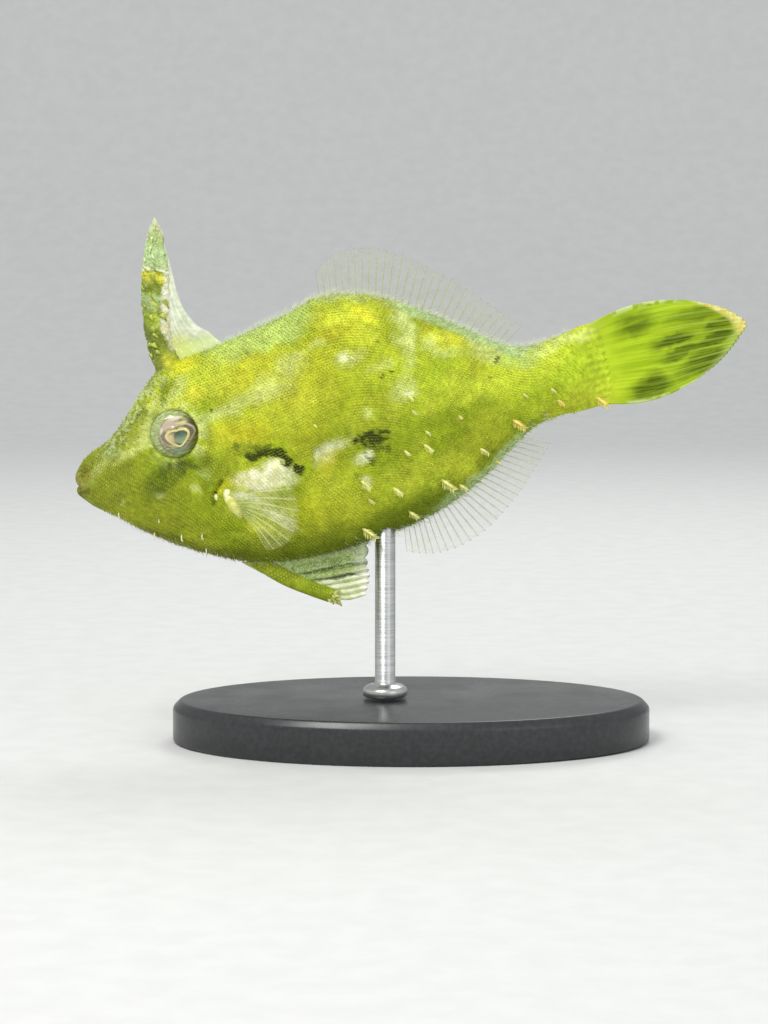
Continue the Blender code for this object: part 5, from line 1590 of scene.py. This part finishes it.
    def build(self, skin: SkinFinish) -> None:
        """Makes the flap with its bone and its spiny scales."""
        sleeve = Sleeve(
            self.middle, self.folds, web_half=0.2, ray_half=0.3, tip_half=0.08, rows=200, columns=90, sink=0.05,
        )
        flap = make_object("pelvic_flap_skin", sleeve.mesh(), self.finish())
        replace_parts(flap, "pelvic_flap")
        bone = sheet(90, 40, self.bone, {"skin": lambda s, t: (s * 0.11, t * 0.05)})
        bone = make_object("pelvic_bone_skin", bone, bpy.data.materials["velvet_skin"])
        paint_mesh(bone, skin)
        horn = Bristle(srgb(206, 210, 120)).material("pelvic_horn")
        tuft_piece("pelvic_spines", self.rudiment(), horn)


@dataclass
class Eyes:
    """The pair of eyes: a painted iris bowl with its gold ring and lens, under a clear dome."""

    dish_radius: float = 2.92 * 0.985
    dome_radius: float = 3.16
    depth: float = 1.95
    bulge: float = 1.15
    iris_shift: tuple[float, float] = (0.48, -0.12)
    iris_radius: float = 2.32
    ring_shift: tuple[float, float] = (0.3, -0.33)
    ring_half: tuple[float, float] = (1.26, 0.92)
    lens_shift: tuple[float, float] = (0.68, -0.34)
    lens_radius: float = 0.8
    bowl: Profile = Profile((
        (0.0, 1.16), (0.25, 1.12), (0.43, 0.94), (0.56, 1.02), (0.7, 0.96), (0.85, 0.66), (1.0, 0.12),
    ))
    # Spots of the iris: u, v, half length, half height, colour and strength. The small pinkish-white spot in
    # front is a painted glint; the pale crescent above is partly silver iris and partly painted glint.
    spots: tuple[tuple[float, float, float, float, Colour, float], ...] = (
        (-0.5, 1.4, 1.5, 0.8, srgb(214, 186, 166), 0.85), (0.5, 2.0, 1.3, 0.45, srgb(236, 226, 196), 0.8),
        (2.3, 0.4, 1.0, 1.9, srgb(62, 52, 14), 0.95), (1.9, -1.4, 1.2, 0.9, srgb(84, 76, 30), 0.8),
        (-1.2, -0.2, 0.6, 1.3, srgb(112, 96, 92), 0.8), (0.2, -1.7, 1.7, 0.5, srgb(96, 120, 92), 0.85),
        (0.2, -2.35, 2.1, 0.34, srgb(166, 200, 140), 0.9), (1.0, 1.2, 0.9, 0.26, srgb(242, 226, 150), 0.75),
        (-1.5, 0.9, 0.4, 0.5, srgb(248, 230, 216), 0.9), (0.2, 0.95, 1.3, 0.22, srgb(86, 74, 40), 0.6),
    )

    def form(self, side: Side, reach: Callable, height: Callable) -> bmesh.types.BMesh:
        """Makes a round form that faces out of one side of the head.

        Args:
            side: The side.
            reach: Its distance from the eye's axis, from share to share of the way out.
            height: Its height over the eyeball's middle, likewise.

        Returns:
            The bmesh.
        """
        middle_u, middle_v = FORM.eye
        middle_w = side.value * (float(FORM.skin_width(middle_u, middle_v)) + self.bulge - self.depth)

        def place(s: Array, t: Array) -> Array:
            """Places its vertices."""
            turn = 2 * np.pi * t
            u, v = middle_u + reach(s) * np.cos(turn), middle_v + reach(s) * np.sin(turn)
            return FORM.world(u, middle_w + side.value * height(s), v)

        return sheet(64, 96, place)

    def iris_finish(self) -> Material:
        """Makes the iris: silver and mauve above, olive behind, teal below, a gold ring round the pupil,
        painted glints, and a painted glow in the pupil.
        """
        graph = Graph("iris")
        u, _, v = graph.warp(graph.fish(), 0.7, 0.1).parts()
        u, v = u - FORM.eye[0], v - FORM.eye[1]
        flat = graph.node("CombineXYZ", {}, (u, v, 0.0))
        streaks = graph.noise(flat.vector("MULTIPLY", (0.5, 1.4, 1.0)), 0.3, 3.0)
        away = flat.vector("SUBTRACT", (*self.iris_shift, 0.0)).vector("LENGTH")
        colour = graph.mix(streaks.step(0.35, 0.68), srgb(104, 96, 44), srgb(186, 180, 118))
        # Spots of colour, among them painted glints.
        for spot_u, spot_v, half_u, half_v, paint, strength in self.spots:
            spot = graph.node("CombineXYZ", {}, ((u - spot_u) * (1 / half_u), (v - spot_v) * (1 / half_v), 0.0))
            colour = graph.mix(spot.vector("LENGTH").step(1.15, 0.3) * strength, colour, paint)
        ring_u, ring_v = (
            (place - shift) * (1 / half) for place, shift, half in zip((u, v), self.ring_shift, self.ring_half)
        )
        heart = ring_v + ring_u.math("ABSOLUTE") * -0.34 + 0.16
        narrow = ring_u * (1.0 - ring_v.low(0.2) * 0.28)
        ring = graph.node("CombineXYZ", {}, (narrow, heart, 0.0)).vector("LENGTH")
        inside = ring.step(1.02, 0.94)
        # Painted glow: the pupil is pale gold at its front and dark olive behind.
        pupil = graph.mix(u.step(-0.5, 0.4), srgb(206, 184, 134), srgb(54, 70, 30))
        pupil = graph.mix(v.step(-0.1, 0.45) * 0.6, pupil, srgb(60, 56, 34))
        colour = graph.mix(inside, colour, pupil)
        lens = flat.vector("SUBTRACT", (*self.lens_shift, 0.0)).vector("LENGTH")
        within = lens.step(self.lens_radius * 1.06, self.lens_radius * 0.88) * inside
        colour = graph.mix(within, colour, graph.mix(v.step(-1.0, 0.2), srgb(140, 166, 124), srgb(40, 70, 46)))
        pale = ring.near(1.55, 0.14, 0.03) * v.step(-1.4, 0.6, 0.12, 0.6)
        colour = graph.mix(pale, colour, srgb(226, 208, 178))
        gold = ring.near(1.0, 0.15, 0.08)
        colour = graph.mix(gold, colour, srgb(244, 222, 148))
        glass = graph.mix(streaks.step(0.4, 0.7), srgb(142, 158, 78), srgb(196, 204, 150))
        rim = away.step(self.iris_radius * 0.9, self.iris_radius * 0.99)
        colour = graph.mix(rim * 0.6, colour, srgb(84, 78, 34))
        colour = graph.mix(away.step(self.iris_radius * 0.97, self.iris_radius * 1.06), colour, glass)
        normal = graph.bump(streaks * 0.4 + gold, 0.12 * MM, 0.6)
        return graph.finish(
            Base_Color=colour, Roughness=0.22, Metallic=gold * 0.35, Normal=normal, Coat_Weight=0.6,
        )

    def dome_finish(self) -> Material:
        """Makes the clear, wet dome, whose rim shows more than its middle."""
        graph = Graph("cornea", clear=True)
        rim = Field(graph, graph.raw("LayerWeight", {}, Blend=0.35).outputs["Facing"])
        alpha = rim.step(0.35, 1.0, 0.05, 0.5)
        return graph.finish(Base_Color=srgb(196, 208, 170), Roughness=0.03, Alpha=alpha, IOR=1.6)

    def build(self) -> None:
        """Makes both eyes."""
        iris, clear = self.iris_finish(), self.dome_finish()
        for side in Side:
            name = "eye_" + side.word
            dome = self.form(
                side, lambda s: self.dome_radius * np.sin(np.pi * s), lambda s: self.depth * np.cos(np.pi * s),
            )
            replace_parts(make_object(name + "_dome", dome, clear), name)
            dish = self.form(side, lambda s: self.dish_radius * s, self.bowl)
            make_object(name + "_iris", dish, iris)


class Tone(Enum):
    """The tones of the tassels."""

    WHITE = srgb(232, 234, 190)
    CREAM = srgb(240, 238, 146)
    AMBER = srgb(246, 226, 118)


@dataclass
class Tassels:
    """The feathered tassels of skin on the flanks, the chin, the tail root and the flap.

    Attributes:
        places: For each tone, the root's u and v and the length of each tassel.
        seed: The source of chance.
    """

    places: tuple[tuple[Tone, tuple[tuple[float, float, float], ...]], ...] = (
        (Tone.WHITE, (
            (4.0, -4.9, 1.1), (7.5, -8.1, 1.4), (10.6, -9.0, 1.2), (13.0, -9.4, 1.2), (13.0, -11.2, 1.5),
            (8.5, -6.6, 0.8),
        )),
        (Tone.CREAM, (
            (31.2, -13.0, 2.2), (36.9, -12.3, 1.7), (35.8, -9.1, 1.6), (41.4, -9.5, 2.3), (46.6, -7.0, 1.5),
            (40.4, -5.0, 1.4), (34.4, 6.8, 0.8), (39.9, 0.9, 0.9), (43.3, -10.6, 1.3), (32.4, -7.4, 1.7),
            (48.1, -8.9, 0.9), (40.9, -3.5, 0.9), (39.9, -0.8, 1.0), (38.0, -5.1, 1.1), (32.7, -9.7, 1.1),
            (56.2, -2.2, 0.8), (45.0, -2.6, 0.8), (28.6, 0.2, 0.6), (52.9, -2.0, 0.8),
        )),
        (Tone.AMBER, ((51.0, -4.6, 2.0), (61.2, -4.5, 1.9), (56.6, -3.6, 1.2))),
    )
    seed: int = 3

    def quill(
        self, u: float, v: float, length: float, side: int, plain: bool, draw: np.random.Generator,
    ) -> tuple[list, list]:
        """Makes the paths of one tassel: a tapered quill with short side threads.

        Args:
            u: The place of its root along the fish.
            v: The height of its root.
            length: Its length.
            side: -1 for the near side, 1 for the far side.
            plain: Whether it is one of the thin, upright ones under the head.
            draw: The source of chance.

        Returns:
            The threads' points in the fish's frame, and their radii in millimetres.
        """
        length *= draw.uniform(0.9, 1.1)
        root = np.array((u, side * float(FORM.skin_width(u, v)), v))
        lean = draw.uniform(-0.15, 0.15)
        slant = -0.14 if plain else 0.62
        stem = np.array([
            root + length * np.array((
                slant * r * (1 + lean), side * (0.5 * r - 0.16 * r * r - 0.1 * (r == 0)),
                -0.72 * r * (0.75 + 0.25 * r),
            )) for r in (0.0, 0.3, 0.65, 1.0)
        ])
        thick = (0.6 + 0.32 * length) * (0.62 if plain else 1.0)
        paths, radii = [stem], [np.array((0.15, 0.15, 0.1)) * thick]
        count = 2 if plain else int(5 + 5 * length)
        sag = np.array((0, 0, -0.15))
        for k in range(count):
            share = 0.12 + 0.8 * k / count
            start = stem[0] + (stem[-1] - stem[0]) * share + np.array((0, side * 0.05, 0))
            sign = 1 if k % 2 else -1
            out = np.array((0.75 * sign + 0.5, side * draw.uniform(0.1, 0.6), 0.55 * sign - 0.55))
            out = np.array((0.3 * sign, side * 0.5, -0.8)) if plain else out
            out /= np.linalg.norm(out)
            reach = length * (0.42 - 0.2 * share) * draw.uniform(0.75, 1.2)
            steps = (0.0, 0.35, 0.7, 1.0)
            paths.append(np.array([start + out * reach * r + sag * reach * r * r for r in steps]))
            radii.append(np.array((0.06, 0.05, 0.035)) * (0.7 + 0.2 * length))
        return paths, radii

    def build(self) -> None:
        """Makes the tassels, one piece for each tone."""
        draw = np.random.default_rng(self.seed)
        for tone, places in self.places:
            paths, radii = [], []
            for (u, v, length), side in itertools.product(places, Side):
                more_paths, more_radii = self.quill(u, v, length, side.value, tone is Tone.WHITE, draw)
                paths += more_paths
                radii += more_radii
            word = tone.name.lower()
            mesh = tufts("tassels", FORM.world(*np.moveaxis(np.array(paths), -1, 0)), np.array(radii) * MM, 6)
            tuft_piece("tassels_" + word, mesh, Bristle(tone.value, 0.4).material("tassel_" + word))


@dataclass
class Stand:
    """The oval plate and the rod that carry the fish."""

    length: float = 56.0
    width: float = 34.0
    height: float = 5.0
    bevel: float = 0.9
    rod_radius: float = 1.2
    boss_radius: float = 2.6
    boss_height: float = 1.4

    def lathe(self, bm: bmesh.types.BMesh, profile: tuple, x: float, steps: int) -> None:
        """Spins a profile of radius and height, in millimetres, about an upright axis at x."""
        points = [bm.verts.new((x + r * MM, 0, z * MM)) for r, z in profile]
        edges = [bm.edges.new(pair) for pair in zip(points, points[1:])]
        bmesh.ops.spin(
            bm, geom=points + edges, cent=(x, 0, 0), axis=(0, 0, 1), angle=2 * math.pi, steps=steps,
            use_merge=True,
        )
        bmesh.ops.remove_doubles(bm, verts=bm.verts, dist=1e-7)
        bmesh.ops.recalc_face_normals(bm, faces=bm.faces)

    def build(self) -> None:
        """Makes the plate and the rod."""
        bm = bmesh.new()
        half, height = self.length / 2, self.height
        self.lathe(bm, (
            (0, 0), (half - 0.4, 0), (half, 0.4), (half, height - self.bevel), (half - self.bevel, height),
            (0, height),
        ), 0.0, 160)
        upper = [e for e in bm.edges if len(e.link_faces) == 2 and e.verts[0].co.z > 2 * MM]
        rim = [e for e in upper if 0.4 < e.calc_face_angle(0) < 1.2]
        bmesh.ops.bevel(bm, geom=rim, offset=0.28 * MM, segments=4, profile=0.5, affect="EDGES", material=-1)
        bmesh.ops.scale(bm, verts=bm.verts, vec=(1.0, self.width / self.length, 1.0))
        plate = Graph("plate_lacquer")
        grain = plate.noise(plate.coordinates(), 0.0006, 3.0)
        shade = plate.mix(grain.step(0.35, 0.7), (0.022, 0.023, 0.025), (0.034, 0.035, 0.038))
        dust = plate.noise(plate.coordinates(), 0.006, 4.0).step(0.3, 0.8, 0.26, 0.38)
        lacquer = plate.finish(Base_Color=shade, Roughness=dust, Normal=plate.bump(grain, 0.01 * MM, 0.4))
        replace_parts(make_object("stand_plate", bm, lacquer), "stand_base")
        low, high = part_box("stand_rod")
        foot, top = low.z / MM, high.z / MM
        boss, rod, neck = self.boss_radius, self.rod_radius, foot + self.boss_height
        bm = bmesh.new()
        self.lathe(bm, (
            (0, foot), (boss - 0.15, foot), (boss, foot + 0.15), (boss, foot + 0.8), (boss - 0.12, foot + 1.02),
            (boss - 0.5, neck - 0.1), (rod + 0.25, neck), (rod, neck + 0.25), (rod, top - 0.3),
            (rod - 0.3, top), (0, top),
        ), (low.x + high.x) / 2, 72)
        steel = Graph("rod_steel")
        lines = steel.noise(steel.coordinates().vector("MULTIPLY", (1.0, 1.0, 30.0)), 0.004, 3.0)
        metal = steel.mix(lines.step(0.3, 0.7), (0.5, 0.5, 0.5), (0.66, 0.66, 0.65))
        rough = lines.step(0.2, 0.8, 0.24, 0.36)
        normal = steel.bump(lines, 0.01 * MM, 0.5)
        satin = steel.finish(Base_Color=metal, Metallic=1.0, Roughness=rough, Normal=normal)
        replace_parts(make_object("stand_rod_turned", bm, satin), "stand_rod")


@dataclass(frozen=True)
class Growth:
    """The sizes of one sort of bristle.

    Attributes:
        reach: How far each one reaches, in millimetres.
        radius: The radius of each one's root, in millimetres.
        lean: How far it leans to the tail.
        pale: How far its colour is turned to a pale tone.
    """

    reach: Array
    radius: Array
    lean: float
    pale: float


@dataclass
class Coat:
    """The velvet of fine bristles, one on each scale, and the longer hairs along the back and the belly.

    Attributes:
        reach: How far a bristle reaches.
        radius: The radius of its root.
        lean: How far it leans to the tail.
        eye_clear: How far from the middle of the eye the bristles start.
        hair_count: The number of longer hairs.
        hair_reach: The shortest and longest reach of a hair.
        hair_radius: The radius of its root.
        grid_start: How far before the snout and over the back the grid of scales starts.
        span: Where the scales start and end along the fish.
        shades: How light a bristle is at the vertices of its root, its two rings and its tip.
        seed: The source of chance.
    """

    reach: float = 0.3
    radius: float = 0.085
    lean: float = 0.85
    eye_clear: float = 3.05
    hair_count: int = 2600
    hair_reach: tuple[float, float] = (0.4, 1.35)
    hair_radius: float = 0.028
    grid_start: tuple[float, float] = (5.0, 50.0)
    span: tuple[float, float] = (1.4, 62.0)
    shades: tuple[float, ...] = (0.8, *([0.85] * 3), *([1.08] * 3), 1.35)
    seed: int = 7

    def unwrap(self, u: float) -> tuple[Array, Array]:
        """Angles round one section and their distances over the skin from the middle of the back."""
        angles = np.linspace(-math.pi / 2, 1.5 * math.pi, 1441)
        w, v = FORM.section(np.full_like(angles, u), angles)
        arcs = np.concatenate(([0.0], np.cumsum(np.hypot(np.diff(w), np.diff(v)))))
        return angles, arcs - np.interp(math.pi / 2, angles, arcs)

    def sites(self, spacing: float) -> Places:
        """The scales' places on the skin: distances u, angles and distances over the skin."""
        across = spacing * math.sqrt(3)
        before, above = self.grid_start
        found = []
        for column in range(*(int((end + before) / spacing * 2) for end in self.span)):
            u, shift = column * spacing / 2 - before, column % 2 / 2
            angles, arcs = self.unwrap(u)
            first = math.ceil((arcs[0] + above) / across - shift)
            last = math.floor((arcs[-1] + above) / across - shift)
            rows = (np.arange(first, last + 1) + shift) * across - above
            found.append(np.column_stack((np.full(len(rows), u), np.interp(rows, arcs, angles), rows)))
        return tuple(np.concatenate(found).T)

    def edge_sites(self, draw: np.random.Generator) -> Places:
        """Chance places close to the ridge of the back and the belly."""
        found = []
        for k in range(self.hair_count):
            back = k % 5 < 3
            u = draw.uniform(17.5, 60.0) if back else draw.uniform(3.0, 56.0)
            angles, arcs = self.unwrap(u)
            away = abs(draw.normal(0.0, 0.7)) * draw.choice((-1, 1))
            arc = away if back else (arcs[-1] - away if away > 0 else arcs[0] - away)
            found.append((u, float(np.interp(arc, arcs, angles)), arc))
        return tuple(np.array(found).T)

    def footing(self, skin: Skin, u: Array, angle: Array) -> Places:
        """Where bristles stand on the finished skin.

        Args:
            skin: The skin.
            u: Distances along the fish.
            angle: Angles round its section.

        Returns:
            The roots in metres, the outward directions and the directions to the tail.
        """
        shares, turns = np.linspace(skin.front, 1, 4001), np.linspace(0, 1, 2881)
        s, t = np.interp(u, skin.stations(shares), shares), np.interp(angle, skin.angle(turns), turns)
        here, along, around = skin.place(s, t), skin.place(s + 1e-3, t), skin.place(s, t + 1e-3)
        out = unit(np.cross(along - here, around - here))
        keel = FORM.world(u, 0.0, FORM.middle(u))
        out *= np.sign(np.sum(out * (here - keel), axis=1, keepdims=True))
        return here, out, unit(along - here)

    def finish(self) -> Material:
        """Makes the bristles' finish, which takes the skin's paint at their roots."""
        graph = Graph("coat")
        return graph.finish(Base_Color=graph.attribute("paint"), Roughness=0.55, Specular_IOR_Level=0.25)

    def grow(
        self, name: str, material: Material, skin: Skin, finish: SkinFinish, at: Places,
        growth: Growth, draw: np.random.Generator,
    ) -> None:
        """Makes one joined piece of the coat.

        Args:
            name: Its name.
            material: Its finish.
            skin: The skin that it grows on.
            finish: The skin's finish, whose paint it takes.
            at: The roots' distances u, angles and distances over the skin.
            growth: The bristles' sizes.
            draw: The source of chance.
        """
        u, angle, arc = at
        here, out, tail = self.footing(skin, u, angle)
        aim = unit(out + tail * growth.lean + draw.normal(0, 0.13, here.shape))
        long = (growth.reach * MM)[:, None]
        tip = here + (aim + tail * 0.3) * long
        paths = np.stack((here - out * 0.05 * MM, here + aim * long * 0.55, tip), 1)
        radii = np.stack((growth.radius, growth.radius * 0.62), 1) * MM
        roots = np.column_stack((u / SKIN_MAP + SKIN_MAP_START, 0.5 + arc / SKIN_MAP))
        piece = tuft_piece(name, tufts(name, paths, radii, 3, roots=roots), material)
        each = len(self.shades)
        shade = np.repeat(draw.uniform(0.78, 1.22, len(u)), each) * np.tile(self.shades, len(u))
        paint_mesh(piece, finish, np.repeat(here, each, axis=0), shade, 0.55, growth.pale)

    def build(self, skin: Skin, finish: SkinFinish) -> None:
        """Makes the coat's pieces."""
        draw = np.random.default_rng(self.seed)
        material = self.finish()
        u, angle, arc = self.sites(finish.spacing)
        u = u + draw.normal(0.0, 0.04, len(u))
        free = np.hypot(u - FORM.eye[0], FORM.section(u, angle)[1] - FORM.eye[1]) > self.eye_clear
        free &= draw.uniform(0.0, 1.0, len(u)) > 0.9 * ease((u - 55.5) / 6.5)
        for side in Side:
            kept = free & (np.sign(np.cos(angle)) == side.value)
            at = (u[kept], angle[kept], arc[kept])
            reach = self.reach * draw.uniform(0.6, 1.25, len(at[0])) * (0.7 + 0.5 * ease((at[0] - 2) / 16))
            reach *= 0.4 + 0.6 * ease((63.5 - at[0]) / 7)
            growth = Growth(reach, self.radius * draw.uniform(0.7, 1.15, len(at[0])), self.lean, 0.0)
            self.grow("coat_" + side.word, material, skin, finish, at, growth, draw)
        at = self.edge_sites(draw)
        u = at[0]
        middle = ease((u - 14) / 12) * ease((64 - u) / 12)
        reach = draw.uniform(*self.hair_reach, len(u)) * (0.45 + 0.55 * middle)
        growth = Growth(reach, np.full(len(u), self.hair_radius), 0.45, 0.85)
        self.grow("coat_edge_hairs", material, skin, finish, at, growth, draw)


@dataclass
class Studio:
    """The floor, the lights and the camera."""

    target: tuple[float, float, float] = (-3.19, 0.0, 27.03)
    distance: float = 350.0
    elevation: float = math.radians(6.0)
    lens: float = 105.35
    floor_half: float = 420.0
    floor_wide: float = 1400.0
    sweep: float = 260.0
    wall: float = 1100.0
    room: float = 0.8

    def build(self) -> None:
        """Makes the whole studio."""
        self.floor()
        self.light("key", (-130, -210, 330), 150, 0.85, (1.0, 0.985, 0.95))
        self.light("fill", (230, -260, 150), 220, 0.12, (0.93, 0.97, 1.0))
        self.light("rim", (60, 240, 300), 160, 0.4, (1.0, 1.0, 1.0))
        self.camera()
        world = bpy.data.worlds.new("studio")
        bpy.context.scene.world = world
        world.use_nodes = True
        world.node_tree.nodes["Background"].inputs["Color"].default_value = (0.86, 0.89, 0.9, 1.0)
        world.node_tree.nodes["Background"].inputs["Strength"].default_value = self.room
        bpy.context.scene.view_settings.view_transform = "Standard"

    def floor(self) -> None:
        """Lays the plain pale floor, which sweeps up to a wall far behind the stand."""
        bm = bmesh.new()
        half, sweep, wall = self.floor_half * MM, self.sweep * MM, self.wall * MM
        turns = np.linspace(0, math.pi / 2, 25)
        curve = [(half + sweep * math.sin(a), sweep * (1 - math.cos(a))) for a in turns]
        line = ((-half, 0.0), *curve, (half + sweep, wall))
        points = [bm.verts.new((-self.floor_wide * MM, y, z)) for y, z in line]
        edges = [bm.edges.new(pair) for pair in zip(points, points[1:])]
        grown = bmesh.ops.extrude_edge_only(bm, edges=edges)["geom"]
        moved = [v for v in grown if isinstance(v, bmesh.types.BMVert)]
        bmesh.ops.translate(bm, verts=moved, vec=(2 * self.floor_wide * MM, 0.0, 0.0))
        bmesh.ops.recalc_face_normals(bm, faces=bm.faces)
        graph = Graph("floor_paper")
        grain = graph.noise(graph.coordinates(), 0.004, 3.0)
        shade = graph.mix(grain.step(0.3, 0.7), (0.69, 0.69, 0.68), (0.72, 0.72, 0.71))
        paper = graph.finish(Base_Color=shade, Roughness=0.9, Specular_IOR_Level=0.1)
        smooth_object("floor", bm, paper)

    def light(self, name: str, place: tuple, size: float, power: float, colour: Colour) -> None:
        """Hangs one soft square light that faces the fish.

        Args:
            name: The light's name.
            place: Its place, in millimetres.
            size: Its side, in millimetres.
            power: Its power in watts.
            colour: Its colour.
        """
        data = bpy.data.lights.new(name, "AREA")
        data.size = size * MM
        data.energy = power
        data.color = colour
        lamp = bpy.data.objects.new(name, data)
        lamp.location = Vector(place) * MM
        aim = Vector(self.target) * MM - lamp.location
        lamp.rotation_euler = aim.to_track_quat("-Z", "Y").to_euler()
        bpy.context.scene.collection.objects.link(lamp)

    def camera(self) -> None:
        """Places the camera at the photograph's angle."""
        data = bpy.data.cameras.new("camera")
        data.lens = self.lens
        data.sensor_width = 36.0
        data.clip_start = 0.01
        camera = bpy.data.objects.new("camera", data)
        back = Vector((0.0, -math.cos(self.elevation), math.sin(self.elevation)))
        camera.location = (Vector(self.target) + back * self.distance) * MM
        camera.rotation_euler = (-back).to_track_quat("-Z", "Y").to_euler()
        bpy.context.scene.collection.objects.link(camera)
        bpy.context.scene.camera = camera


def main() -> None:
    """Builds the studio and every piece."""
    logging.basicConfig(level=logging.INFO, format="%(name)s %(message)s")
    Studio().build()
    finish, skin = SkinFinish(), Skin()
    skin.build(finish)
    Coat().build(skin, finish)
    Eyes().build()
    Fins().build(finish)
    DorsalSpine().build()
    PelvicFlap().build(finish)
    Tassels().build()
    Stand().build()


if __name__ == "__main__":
    main()
